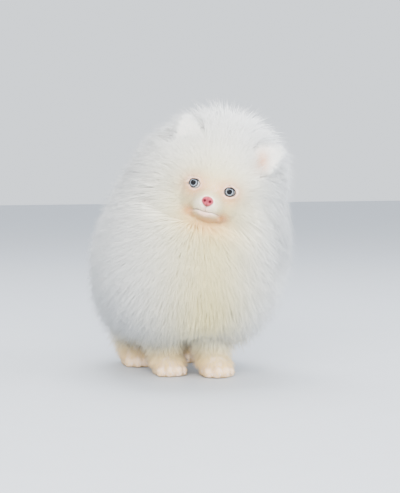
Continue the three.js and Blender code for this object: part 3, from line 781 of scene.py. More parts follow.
@dataclass(frozen=True)
class HairFinish:
    """White spitz hair over pale skin: matt and soft, and warmer where tears and food stain it."""

    name: str
    base: str = "#f5f7f6"
    cream: str = "#fbeeac"
    stain: str = "#f5ae68"
    bare: str = "#eab4a4"
    roughness: float = 0.62
    strand_mm: float = 1.6
    strand_shades: tuple = (0.93, 1.03)
    relief_mm: float = 0.3

    def build(self) -> bpy.types.Material:
        """Makes the material: the marks choose the colour, and a fine noise varies it from strand to strand.

        Returns:
            The material.
        """
        material, tree = new_material(self.name)
        marks = add_node(tree, "ShaderNodeAttribute", {"attribute_name": "Marks"})
        split = add_node(tree, "ShaderNodeSeparateColor", links={0: marks.outputs["Color"]})
        before = {}
        for source, hex_colour in enumerate((self.cream, self.stain, self.bare)):
            settings = {"data_type": "RGBA", 6: to_linear(self.base), 7: to_linear(hex_colour)}
            mix = add_node(tree, "ShaderNodeMix", settings, {0: split.outputs[source], **before})
            before = {6: mix.outputs[2]}
        noise = grained(tree, "ShaderNodeTexNoise", self.strand_mm)
        settings = dict(zip(("To Min", "To Max"), self.strand_shades))
        strand = add_node(tree, "ShaderNodeMapRange", settings, {0: noise.outputs[0]})
        # The marks' alpha carries each tuft's tone and the painted shade at its root.
        links = {0: strand.outputs[0], 1: marks.outputs["Alpha"]}
        factor = add_node(tree, "ShaderNodeMath", {"operation": "MULTIPLY"}, links)
        links = {0: mix.outputs[2], "Scale": factor.outputs[0]}
        shade = add_node(tree, "ShaderNodeVectorMath", {"operation": "SCALE"}, links)
        settings = {"Strength": 0.25, "Distance": self.relief_mm * MM}
        bump = add_node(tree, "ShaderNodeBump", settings, {"Height": noise.outputs[0]})
        shader = add_node(
            tree,
            "ShaderNodeBsdfPrincipled",
            {"Roughness": self.roughness, "IOR": 1.55, "Specular IOR Level": 0.25, "Sheen Weight": 0.25},
            {"Base Color": shade.outputs[0], "Normal": bump.outputs[0]},
        )
        add_node(tree, "ShaderNodeOutputMaterial", links={0: shader.outputs[0]})
        return material


@dataclass(frozen=True)
class EyeFinish:
    """A wet young eye: a small dark pupil in a pale blue-grey iris with a dark rim, under clear tears."""

    pupil: str = "#07070a"
    inner: str = "#4c5560"
    iris: str = "#909ba6"
    rim: str = "#17181c"
    white: str = "#d2d3d4"
    roughness: float = 0.3
    fibre_mm: float = 0.7
    fibre_reach: float = 0.07

    def build(self) -> bpy.types.Material:
        """Makes the material, coloured by the angle from the eye's axis that its mesh stores.

        Returns:
            The material.
        """
        material, tree = new_material("wet_eye")
        ring = add_node(tree, "ShaderNodeAttribute", {"attribute_name": "Ring"})
        fibres = grained(tree, "ShaderNodeTexNoise", self.fibre_mm)
        settings = {"operation": "MULTIPLY_ADD", 1: self.fibre_reach}
        wobble = add_node(tree, "ShaderNodeMath", settings, {0: fibres.outputs[0], 2: ring.outputs["Fac"]})
        ramp = add_node(tree, "ShaderNodeValToRGB", links={0: wobble.outputs[0]})
        stops = (
            (0.0, self.pupil),
            (0.148, self.pupil),
            (0.16, self.inner),
            (0.18, self.iris),
            (0.2, self.iris),
            (0.218, self.rim),
            (0.26, self.rim),
            (0.292, self.white),
        )
        elements = ramp.color_ramp.elements
        for i, (at, hex_colour) in enumerate(stops):
            stop = elements[i] if i < 2 else elements.new(at)
            stop.position = at
            stop.color = to_linear(hex_colour)
        tears = {"Coat Weight": 0.6, "Coat Roughness": 0.02, "Coat IOR": 1.34}
        shader = add_node(
            tree,
            "ShaderNodeBsdfPrincipled",
            {"Roughness": self.roughness, "Specular IOR Level": 0.1, **tears},
            {"Base Color": ramp.outputs[0]},
        )
        add_node(tree, "ShaderNodeOutputMaterial", links={0: shader.outputs[0]})
        return material


@dataclass(frozen=True)
class NoseFinish:
    """Moist pink nose leather, pebbled and satin: dark red and painted shade in the nostrils, painted shade
    in the groove and below.
    """

    leather: str = "#b03a4e"
    deep: str = "#4a0d18"
    pebble_mm: float = 0.9
    relief_mm: float = 0.2

    def build(self) -> bpy.types.Material:
        """Makes the material, darkened where its mesh marks the nostrils, with painted shade where it marks
        the groove and the underside.

        Returns:
            The material.
        """
        material, tree = new_material("nose_leather")
        pebbles = grained(tree, "ShaderNodeTexVoronoi", self.pebble_mm)
        # The value read marks the nostrils, partly dark red and partly painted shade, and the painted shade
        # in the groove and under the nose.
        hole = add_node(tree, "ShaderNodeAttribute", {"attribute_name": "Ring"})
        settings = {"data_type": "RGBA", 6: to_linear(self.leather), 7: to_linear(self.deep)}
        mix = add_node(tree, "ShaderNodeMix", settings, {0: hole.outputs["Fac"]})
        settings = {"Strength": 0.4, "Distance": self.relief_mm * MM}
        bump = add_node(tree, "ShaderNodeBump", settings, {"Height": pebbles.outputs["Distance"]})
        shader = add_node(
            tree,
            "ShaderNodeBsdfPrincipled",
            {"Roughness": 0.38, "IOR": 1.45, "Coat Weight": 0.3, "Coat Roughness": 0.2},
            {"Base Color": mix.outputs[2], "Normal": bump.outputs[0]},
        )
        add_node(tree, "ShaderNodeOutputMaterial", links={0: shader.outputs[0]})
        return material


@dataclass(frozen=True)
class PlainFinish:
    """A matt surface with a faint mottle, for the studio floor, the dark rims and claws of pale horn."""

    name: str
    colour: str
    roughness: float
    mottle_mm: float

    def build(self) -> bpy.types.Material:
        """Makes the material.

        Returns:
            The material.
        """
        material, tree = new_material(self.name)
        noise = grained(tree, "ShaderNodeTexNoise", self.mottle_mm)
        factor = add_node(tree, "ShaderNodeMapRange", {"To Min": 0.97, "To Max": 1.02}, {0: noise.outputs[0]})
        colour = add_node(tree, "ShaderNodeRGB")
        colour.outputs[0].default_value = to_linear(self.colour)
        links = {0: colour.outputs[0], "Scale": factor.outputs[0]}
        shade = add_node(tree, "ShaderNodeVectorMath", {"operation": "SCALE"}, links)
        links = {"Base Color": shade.outputs[0]}
        shader = add_node(tree, "ShaderNodeBsdfPrincipled", {"Roughness": self.roughness}, links)
        add_node(tree, "ShaderNodeOutputMaterial", links={0: shader.outputs[0]})
        return material


class Mark(IntEnum):
    """What colours the coat, by its column in the marks."""

    CREAM = 0
    STAIN = 1
    PINK = 2


@dataclass(frozen=True)
class Spot:
    """A soft spot of colour: its strength at its centre, and the millimetres over which it fades."""

    mark: Mark
    strength: float
    centre: tuple
    radii: tuple
    paired: bool = False

    def at(self, places: np.ndarray) -> np.ndarray:
        """Its strength at places: exp of minus the squared distance in radii, on both sides if paired.

        Args:
            places: one a row, in the frame of its centre.

        Returns:
            One strength for each place.
        """
        total = 0.0
        for side in (1, -1) if self.paired else (1,):
            centre = np.array(self.centre) * (side, 1, 1)
            total = total + np.exp(-np.sum(((places - centre) / np.array(self.radii)) ** 2, axis=1))
        return self.strength * total


@dataclass
class Markings:
    """Where the coat is warmer: masks worked out from places in the dog's frame."""

    dog: Dog
    # In the head's frame: tear stains, lids, corners of the mouth, the left ear, chin, lips, painted shade
    # under the nose, and face.
    on_head: tuple = (
        Spot(Mark.STAIN, 0.95, (16.5, -6, -3), (15, 16, 13), paired=True),
        Spot(Mark.PINK, 0.65, (18.5, -4, 0), (9, 14, 8), paired=True),
        Spot(Mark.STAIN, 0.8, (18, -6, -29), (8, 14, 6), paired=True),
        Spot(Mark.STAIN, 0.75, (42.746, 7, 38), (7, 8, 12)),
        Spot(Mark.PINK, 0.25, (42.746, 7, 38), (7, 8, 12)),
        Spot(Mark.STAIN, 0.6, (4, -10, -42), (26, 26, 12)),
        Spot(Mark.PINK, 0.7, (0, -22, -29), (10, 9, 4)),
        # Painted shade under the nose, coloured pink.
        Spot(Mark.PINK, 0.5, (0, -27, -22), (4, 6, 4)),
        Spot(Mark.CREAM, 0.85, (0, -10, -14), (50, 36, 48)),
    )
    # In the dog's frame: the chest and the hem above the forelegs.
    on_body: tuple = (
        Spot(Mark.CREAM, 0.8, (-14, -96, 116), (50, 70, 72)),
        Spot(Mark.CREAM, 0.55, (-4, -80, 56), (46, 60, 40)),
    )
    # The legs: how strongly each mark shows at the floor, and the heights over which it fades.
    on_legs: tuple = ((Mark.CREAM, 0.9, 14, 48), (Mark.STAIN, 0.5, 8, 36))
    # The muzzle is paler: a spot of its own that takes away these shares of cream and stain.
    pale_muzzle: Spot = Spot(Mark.CREAM, 1.0, (0, -24, -20), (12, 12, 10))
    paler: tuple = ((Mark.CREAM, 0.5), (Mark.STAIN, 0.7))

    def masks(self, p: np.ndarray) -> np.ndarray:
        """How cream, how stained and how pink each place is.

        Args:
            p: places in the dog's frame.

        Returns:
            Three columns from 0 to 1, and a fourth of ones, where the coat later puts each tuft's tone and
            the painted shade at its root.
        """
        q = self.dog.head.back(p)
        marks = np.zeros((len(p), 4))
        for places, spots in ((q, self.on_head), (p, self.on_body)):
            for spot in spots:
                marks[:, spot.mark] += spot.at(places)
        for mark, strength, low, high in self.on_legs:
            marks[:, mark] += strength * smoothstep(-p[:, 2], -high, -low)
        muzzle = self.pale_muzzle.at(q)
        for mark, share in self.paler:
            marks[:, mark] *= 1 - share * muzzle
        marks[:, 3] = 1
        return np.clip(marks, 0, 1)


@dataclass
class Skin:
    """The one skin under the whole coat, finer on the face."""

    dog: Dog
    markings: Markings
    step: float = 1.9
    low: tuple = (-92.0, -112.0, -4.0)
    high: tuple = (98.0, 152.0, 286.0)
    fine_middle: tuple = (0.0, -14.0, -10.0)
    fine_radius: float = 46.0

    def build(self, shift: np.ndarray) -> tuple[bpy.types.Object, np.ndarray, np.ndarray]:
        """Meshes the skin's field on a grid and splits its faces in four on the face.

        Args:
            shift: what the dog's frame is moved by, in millimetres.

        Returns:
            The skin, its vertices in the dog's frame and its quads.
        """
        vertices, quads = surface_net(self.dog.skin, np.array(self.low), np.array(self.high), self.step)
        vertices = settle(self.dog.skin, vertices)
        fine, faces = self.split_near_face(vertices, quads)
        fine = settle(self.dog.skin, fine, 2)
        made = mesh_object("Skin", (fine + shift) * MM, faces)
        store_masks(made, self.markings.masks(fine))
        return made, vertices, quads

    def split_near_face(self, vertices: np.ndarray, quads: np.ndarray) -> tuple[np.ndarray, np.ndarray]:
        """Splits every quad near the face into four, and the rest into triangles that meet them.

        All faces come back as triangles. An edge that touches a split quad gets a vertex at its middle on
        both sides, so that no crack opens.

        Args:
            vertices: places in the dog's frame.
            quads: rows of four vertex numbers.

        Returns:
            Vertices and triangles.
        """
        middle = self.dog.head.out(np.array([self.fine_middle]))[0]
        near = np.linalg.norm(vertices[quads].mean(1) - middle, axis=1) < self.fine_radius
        edges = np.stack([quads, np.roll(quads, -1, 1)], -1)
        key = np.sort(edges, -1)
        code = key[..., 0] * len(vertices) + key[..., 1]
        split_codes = np.unique(code[near])
        middles = np.stack([split_codes // len(vertices), split_codes % len(vertices)], 1)
        added = vertices[middles].mean(1)
        where = np.searchsorted(split_codes, code)
        where = np.clip(where, 0, len(split_codes) - 1)
        has = split_codes[where] == code
        mid = np.where(has, len(vertices) + where, -1)
        centres = vertices[quads[near]].mean(1)
        centre_number = len(vertices) + len(added) + np.arange(len(centres))
        pieces = []
        for corner in range(4):
            a, m, before = quads[near][:, corner], mid[near][:, corner], mid[near][:, corner - 1]
            pieces += [np.stack([a, m, centre_number], 1), np.stack([a, centre_number, before], 1)]
        for row, middle in zip(quads[~near & has.any(1)], mid[~near & has.any(1)]):
            ring = [n for pair in zip(row, middle) for n in pair if n >= 0]
            start = next(i for i, n in enumerate(ring) if n >= len(vertices))
            ring = ring[start:] + ring[:start]
            pieces.append(np.array([[ring[0], ring[i], ring[i + 1]] for i in range(1, len(ring) - 1)]))
        plain = quads[~near & ~has.any(1)]
        pieces += [plain[:, [0, 1, 2]], plain[:, [0, 2, 3]]]
        return np.concatenate([vertices, added, centres]), np.concatenate(pieces)


def blades(
    start: np.ndarray, bend: np.ndarray, tip: np.ndarray, across: np.ndarray, width: np.ndarray, sections: int
) -> tuple[np.ndarray, np.ndarray, np.ndarray]:
    """Closed three-sided tapered blades along quadratic curves from start to tip.

    The width falls from root to tip as one minus the share along the blade to the power 1.6.

    Args:
        start: the sunken root of each blade.
        bend: the middle control point of its curve.
        tip: its end.
        across: the way of its broad side.
        width: its width at the root.
        sections: how many stretches it has.

    Returns:
        Vertices by blade, triangles, and for each vertex the way out from the blade's middle.
    """
    lean = unit(tip - start)
    flat = unit(np.cross(lean, across))
    across = np.cross(flat, lean)
    t = (np.arange(sections) / sections)[None, :, None]
    path = start[:, None] * (1 - t) ** 2 + 2 * bend[:, None] * t * (1 - t) + tip[:, None] * t**2
    size = width[:, None, None] * (1 - t**1.6) * 0.5
    turns = np.arange(3) * 2 * np.pi / 3
    cosine, sine = np.cos(turns)[None, :, None], np.sin(turns)[None, :, None]
    about = across[:, None] * cosine + 0.4 * flat[:, None] * sine
    ring = path[:, :, None] + about[:, None] * size[:, :, None]
    count, per = len(start), 3 * sections + 1
    vertices = np.concatenate([ring.reshape(count, -1, 3), tip[:, None]], 1)
    round_about = np.concatenate([np.tile(unit(about), (1, sections, 1)), flat[:, None]], 1)
    faces = [(0, 2, 1)]
    for section in range(sections):
        for k in range(3):
            a, b = 3 * section + k, 3 * section + (k + 1) % 3
            faces += [(a, b, b + 3), (a, b + 3, a + 3)] if section < sections - 1 else [(a, b, per - 1)]
    triangles = (np.array(faces)[None] + (np.arange(count) * per)[:, None, None]).reshape(-1, 3)
    return vertices, triangles, round_about


class Stretch(IntEnum):
    """The stretches of the coat, each a piece of its own, and the skin on which none grows."""

    BARE = -1
    FACE = 0
    HEAD_LEFT = 1
    HEAD_RIGHT = 2
    NECK_LEFT = 3
    NECK_RIGHT = 4
    CHEST = 5
    SIDE_LEFT = 6
    SIDE_RIGHT = 7
    LEGS = 8
    TAIL = 9
    EARS = 10


# How far hair leans out of the skin, away from the face, and down: in front of the head's sides, and behind.
FACE_LEAN = ((0.35, 1.0, 0.0), (0.35, 1.0, 0.0))
HEAD_LEAN = ((0.85, 0.5, 0.0), (0.4675, 0.5, 0.8))
NECK_LEAN = ((0.8, 0.55, 0.12), (0.8, 0.55, 0.12))
BODY_LEAN = ((0.85, 0.0, 1.0), (0.85, 0.0, 1.0))


@dataclass(frozen=True)
class Tufting:
    """How one stretch of the coat grows: legs, tail and ears have a lean of their own."""

    stretch: Stretch
    slot: Slot
    count: int
    width: float
    sections: int
    clump: int
    lean: tuple = BODY_LEAN


@dataclass
class Coat:
    """The coat: solid tufts rooted in the skin, in pieces that stay small enough to keep."""

    dog: Dog
    markings: Markings
    vertices: np.ndarray
    quads: np.ndarray
    # A place on each plane that parts head from neck and neck from body, and the way down through it.
    head_plane: tuple = ((0, -35, 204), (0, 0.5, -0.866))
    neck_plane: tuple = ((0, -8, 168), (0, 0.7, -0.714))
    # Degrees off the face: where its own short hair ends, and where hair turns to fall behind the head.
    face_edge: float = 78.0
    behind_edges: tuple = (75.0, 130.0)
    # How far hair strays from its lie, the share of loose wisps, lengths and pull towards the clump.
    stray: float = 0.15
    wisps: float = 0.16
    lengths: tuple = (0.75, 0.98)
    wisp_lengths: tuple = (0.98, 1.12)
    pull: tuple = (0.08, 0.38)
    widths: tuple = (0.75, 1.3)
    # The tone of whole tufts, which differs at random, the painted shade at their roots, how far they sag,
    # and how deep they are rooted.
    strand_shade: tuple = (0.89, 1.0)
    painted_root_shade: float = 0.9
    sag: float = 0.04
    sink: float = 1.2
    softness: float = 1.5
    # Lengths: down at the nose, what it gains on the cheeks, the tail, and the least and the most elsewhere.
    nose_down: float = 2.4
    cheek_down: float = 4.6
    tail_hair: float = 34.0
    shortest: float = 9.0
    longest: float = 90.0

    def region(self, p: np.ndarray) -> np.ndarray:
        """The number of the stretch of coat that each place belongs to.

        Args:
            p: places in the dog's frame.

        Returns:
            One number for each place, as Stretch gives them.
        """

        def below(surface: tuple) -> np.ndarray:
            """How far places lie below a plane."""
            return (p - np.array(surface[0])) @ unit(np.array(surface[1], float))

        q = self.dog.head.back(p)
        left = q[:, 0] > 0
        side = np.where(p[:, 0] > 0, Stretch.SIDE_LEFT, Stretch.SIDE_RIGHT)
        found = np.where(p[:, 1] < 20, Stretch.CHEST, side)
        neck = np.where(left, Stretch.NECK_LEFT, Stretch.NECK_RIGHT)
        found = np.where(below(self.neck_plane) < 0, neck, found)
        head = np.where(left, Stretch.HEAD_LEFT, Stretch.HEAD_RIGHT)
        found = np.where(below(self.head_plane) < 0, head, found)
        tail = (self.dog.on_tail(p) < 1.5) & (p[:, 2] > 170) & (p[:, 1] > 40)
        found = np.where(tail, Stretch.TAIL, found)
        found = np.where(self.dog.legs(p) < 1.5, Stretch.LEGS, found)
        ears = np.minimum(self.dog.head.ear(q, 0), self.dog.head.ear(q, 1)) < 1.0
        found = np.where(ears, Stretch.EARS, found)
        face = (self.dog.head.off_face(q) < self.face_edge) & (np.linalg.norm(q, axis=1) < 60) & ~ears
        found = np.where(face & (below(self.head_plane) < 12), Stretch.FACE, found)
        return np.where(self.dog.head.bare(q), Stretch.BARE, found)

    def sample(self, stretch: Stretch, count: int, rng: np.random.Generator) -> tuple[np.ndarray, np.ndarray]:
        """Draws places on the skin's quads of one stretch, evenly by area.

        Args:
            stretch: the stretch of coat.
            count: how many places.
            rng: the seeded source of chance.

        Returns:
            Places and the slope of the skin there.
        """
        corners = self.vertices[self.quads]
        mine = corners[self.region(corners.mean(1)) == stretch]
        area = np.linalg.norm(np.cross(mine[:, 2] - mine[:, 0], mine[:, 3] - mine[:, 1]), axis=1)
        a, b, c, d = mine[rng.choice(len(mine), count, p=area / area.sum())].swapaxes(0, 1)
        u, v = rng.random((2, count, 1))
        p = (a * (1 - u) + b * u) * (1 - v) + (d * (1 - u) + c * u) * v
        return p, gradient(self.dog.skin, p, 1.2)

    def lie(self, p: np.ndarray, n: np.ndarray, tufting: Tufting) -> np.ndarray:
        """The way the hair leans at each root: out, away from the face, and down or back over the body.

        Args:
            p: the roots.
            n: the slope of the skin there.
            tufting: the stretch's settings.

        Returns:
            Unit vectors.
        """
        head = self.dog.head
        if tufting.stretch is Stretch.LEGS:
            hang = smoothstep(p[:, 2], 4, 22)[:, None]
            return unit((0.45 + 0.4 * hang) * n + np.array([0, 0.1, -0.95]))
        if tufting.stretch is Stretch.TAIL:
            path = np.array(self.dog.tail, float)
            near = np.exp(-((p[:, None] - (path[:-1] + path[1:]) / 2) ** 2).sum(-1) / 400)
            return unit(0.6 * n + 0.85 * unit(near @ unit(path[1:] - path[:-1])) + np.array([0, 0, -0.12]))
        if tufting.stretch is Stretch.EARS:
            out, rim = head.ear_out(head.back(p))
            return unit(0.3 * n + (out * smoothstep(rim, 0.2, 0.9)[:, None] + [0, 0, 0.45]) @ head.matrix.T)
        forward = head.matrix @ unit(np.array(head.forward))
        away = p - head.out(np.array([head.middle]))[0]
        away = unit(away - (away @ forward)[:, None] * forward)
        away = away - np.sum(away * n, 1)[:, None] * n
        down = np.tile(np.array([0, 0.3, -0.45]), (len(p), 1))
        behind = smoothstep(head.off_face(head.back(p)), *self.behind_edges)[:, None]
        away = away * (1 - behind) + down * behind
        front, back = np.array(tufting.lean)
        lean = front * (1 - behind) + back * behind
        return unit(lean[:, :1] * n + lean[:, 1:2] * away + lean[:, 2:] * down)

    def length(self, p: np.ndarray, way: np.ndarray, stretch: Stretch) -> np.ndarray:
        """How long the hair is at each root, before it varies: up to the surface of the coat's tips.

        Args:
            p: the roots.
            way: the way that each hair grows.
            stretch: the stretch of coat.

        Returns:
            One length for each root.
        """
        head = self.dog.head
        full = reach(p, way, self.dog.tips, 110)
        if stretch is Stretch.FACE:
            off = head.off_face(head.back(p))
            down = self.nose_down + self.cheek_down * smoothstep(off, 20, 50)
            return down + smoothstep(off, 50, 80) * np.clip(full - 7, 0, 36)
        if stretch is Stretch.LEGS:
            return 3.4 + 11 * smoothstep(p[:, 2], 8, 20) + 9 * smoothstep(p[:, 2], 20, 42)
        if stretch is Stretch.TAIL:
            return np.full(len(p), self.tail_hair)
        if stretch is Stretch.EARS:
            return 3.8 + 3.2 * smoothstep(head.ear_out(head.back(p))[1], 0.6, 1.0)
        return np.clip(full, self.shortest, self.longest)

    def grow(self, tufting: Tufting, shift: np.ndarray, material: bpy.types.Material) -> bpy.types.Object:
        """Grows one stretch of the coat as one mesh of three-sided, tapered tufts.

        The path of a tuft is a quadratic curve from a root just under the skin, by a point out along the
        skin's slope, to the tip. Tips are drawn together in clumps, as soft hair falls.
        Args:
            tufting: the stretch's settings.
            shift: what the dog's frame is moved by, in millimetres.
            material: the finish.

        Returns:
            The piece.
        """
        stretch, count, sections = tufting.stretch, tufting.count, tufting.sections
        rng = np.random.default_rng(FIRST_SEED + int(stretch))
        root, n = self.sample(stretch, count, rng)
        way = unit(self.lie(root, n, tufting) + self.stray * rng.normal(size=(count, 3)))
        wisp = rng.random(count) < self.wisps
        share = np.where(wisp, rng.uniform(*self.wisp_lengths, count), rng.uniform(*self.lengths, count))
        length = self.length(root, way, stretch) * share
        pull = np.where(wisp, 0.0, rng.uniform(*self.pull, count))
        tip = self.gather(root, root + way * length[:, None], tufting.clump, pull)
        tip[:, 2] = np.maximum(tip[:, 2] - self.sag * length, 1.0)
        start = root - n * self.sink
        bend = root + (0.55 * n + 0.45 * way) * (length * 0.45)[:, None]
        across = unit(np.cross(tip - start, n) + 0.5 * rng.normal(size=(count, 3)))
        width = tufting.width * np.where(wisp, 0.5, rng.uniform(*self.widths, count))
        vertices, triangles, round_about = blades(start, bend, tip, across, width, sections)
        per, places = vertices.shape[1], vertices.reshape(-1, 3)
        made = mesh_object(f"Coat_{stretch.name.lower()}", (places + shift) * MM, triangles)
        masks = self.markings.masks(places).reshape(count, per, 4)
        depth = np.append(np.repeat(np.arange(sections) / sections, 3), 1.0)
        tuft_shade = rng.uniform(*self.strand_shade, (count, 1))
        # Each tuft's random tone, times painted shade that darkens it towards its root.
        masks[..., 3] = tuft_shade * (self.painted_root_shade + (1 - self.painted_root_shade) * depth)
        store_masks(made, masks.reshape(-1, 4))
        self.unwrap(made, root, sections, triangles, per)
        soft = unit(self.softness * n[:, None] + round_about + 0.15 * way[:, None]).reshape(-1, 3)
        made.data.normals_split_custom_set_from_vertices(soft.tolist())
        made.data.materials.append(material)
        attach(made, "root")
        return made

    def gather(self, root: np.ndarray, tip: np.ndarray, size: int, pull: np.ndarray) -> np.ndarray:
        """Draws the tips of neighbouring tufts together, as soft hair clings in clumps.

        Args:
            root: the root of each tuft.
            tip: its tip.
            size: how many tufts make a clump.
            pull: how far each tip moves towards the first tuft of its clump, from 0 to 1.

        Returns:
            The moved tips.
        """
        centres, ends = root[::size], tip[::size]
        parts = np.array_split(root, 40)
        nearest = np.concatenate([np.argmin(((part[:, None] - centres) ** 2).sum(-1), 1) for part in parts])
        together = ends[nearest] + (root - centres[nearest]) * 0.25
        return tip + (together - tip) * pull[:, None]

    def unwrap(
        self, made: bpy.types.Object, root: np.ndarray, sections: int, triangles: np.ndarray, per: int
    ) -> None:
        """Gives each tuft a small patch at its root's place on an unwrap of its stretch.

        The unwrap is the root's direction from the middle of its stretch, as turns round and up.

        Args:
            made: the piece.
            root: one root for each tuft.
            sections: how many rings a tuft has.
            triangles: vertex numbers.
            per: vertices in one tuft.
        """
        patch = 0.003
        w = unit(root - root.mean(0))
        turned = np.arctan2(w[:, 1], w[:, 0]) / (2 * np.pi) + 0.5
        centre = np.stack([turned, np.arccos(np.clip(w[:, 2], -1, 1)) / np.pi], 1)
        centre = 0.01 + 0.98 * centre
        ring = np.arange(per - 1)
        local = np.stack([(ring % 3) / 2, (ring // 3) / sections], 1)
        local = np.concatenate([local, [[0.5, 1.0]]]) * patch - patch / 2
        uv = (centre[:, None] + local[None]).reshape(-1, 2)
        layer = made.data.uv_layers.new(name="OFBake")
        layer.data.foreach_set("uv", uv[triangles.ravel()].astype(np.float32).ravel())


def sphere_grid(rows: int, columns: int) -> tuple[np.ndarray, np.ndarray]:
    """Unit sphere points about the -y axis and the triangles between them, with both poles closed.

    Args:
        rows: rings between the poles.
        columns: points in a ring.

    Returns:
        Points and triangles. The first point is the pole towards -y.
    """
    theta = np.linspace(0, np.pi, rows + 2)[1:-1]
    phi = np.arange(columns) * 2 * np.pi / columns
    tt, pp = np.meshgrid(theta, phi, indexing="ij")
    ring = np.stack([np.sin(tt) * np.cos(pp), -np.cos(tt), np.sin(tt) * np.sin(pp)], -1).reshape(-1, 3)
    points = np.concatenate([[[0, -1, 0]], ring, [[0, 1, 0]]])
    at = 1 + np.arange(rows * columns).reshape(rows, columns)
    nxt = np.roll(at, -1, 1)
    a, b, c, d = at[:-1], nxt[:-1], nxt[1:], at[1:]
    body = np.concatenate([np.stack([a, b, c], -1).reshape(-1, 3), np.stack([a, c, d], -1).reshape(-1, 3)])
    first = np.stack([np.zeros(columns, int), nxt[0], at[0]], 1)
    last = np.stack([np.full(columns, len(points) - 1), at[-1], nxt[-1]], 1)
    return points, np.concatenate([first, body, last])


def tube(
    path: np.ndarray, radii: np.ndarray | float, around: int, closed: bool
) -> tuple[np.ndarray, np.ndarray]:
    """A round bar along a path.

    Args:
        path: points down the middle.
        radii: the radius, or the radius at each point.
        around: points round the bar.
        closed: whether the end meets the start. Otherwise both ends are capped.

    Returns:
        Vertices and triangles.
    """
    along = np.roll(path, -1, 0) - np.roll(path, 1, 0) if closed else np.gradient(path, axis=0)
    along = unit(along)
    off = np.array([0.05, 1, 0.02] if closed else [0.02, 0.3, 1])  # no path here runs this way
    side = unit(np.cross(along, off))
    up = np.cross(side, along)
    turns = np.arange(around) * 2 * np.pi / around
    ring = side[:, None] * np.cos(turns)[:, None] + up[:, None] * np.sin(turns)[:, None]
    reached = ring * np.broadcast_to(radii, len(path))[:, None, None]
    vertices = (path[:, None] + reached).reshape(-1, 3)
    at = np.arange(len(path) * around).reshape(len(path), around)
    onward = np.roll(at, -1, 0) if closed else at[1:]
    at = at if closed else at[:-1]
    a, b, c, d = at, np.roll(at, -1, 1), np.roll(onward, -1, 1), onward
    faces = [np.stack([a, c, b], -1).reshape(-1, 3), np.stack([a, d, c], -1).reshape(-1, 3)]
    if not closed:
        first, last = np.arange(around), np.arange(around) + (len(path) - 1) * around
        faces.append(np.stack([np.full(around - 2, first[0]), first[1:-1], first[2:]], 1))
        faces.append(np.stack([np.full(around - 2, last[0]), last[2:], last[1:-1]], 1))
    return vertices, np.concatenate(faces)


def joined(name: str, parts: list, place: Callable[[np.ndarray], np.ndarray]) -> bpy.types.Object:
    """Puts several vertex and triangle arrays into one object, after moving the vertices.

    Args:
        name: the piece's name.
        parts: pairs of vertices and triangles.
        place: moves the vertices to where they go, in metres.

    Returns:
        The piece.
    """
    starts = np.cumsum([0] + [len(vertices) for vertices, _ in parts])
    faces = [triangles + start for (_, triangles), start in zip(parts, starts)]
    vertices = place(np.concatenate([vertices for vertices, _ in parts]))
    return mesh_object(name, vertices, np.concatenate(faces))


def store_ring(made: bpy.types.Object, values: np.ndarray) -> None:
    """Stores one number at each vertex, as the attribute that the eye's and the nose's finish read."""
    layer = made.data.attributes.new("Ring", "FLOAT", "POINT")
    layer.data.foreach_set("value", np.asarray(values, np.float32))


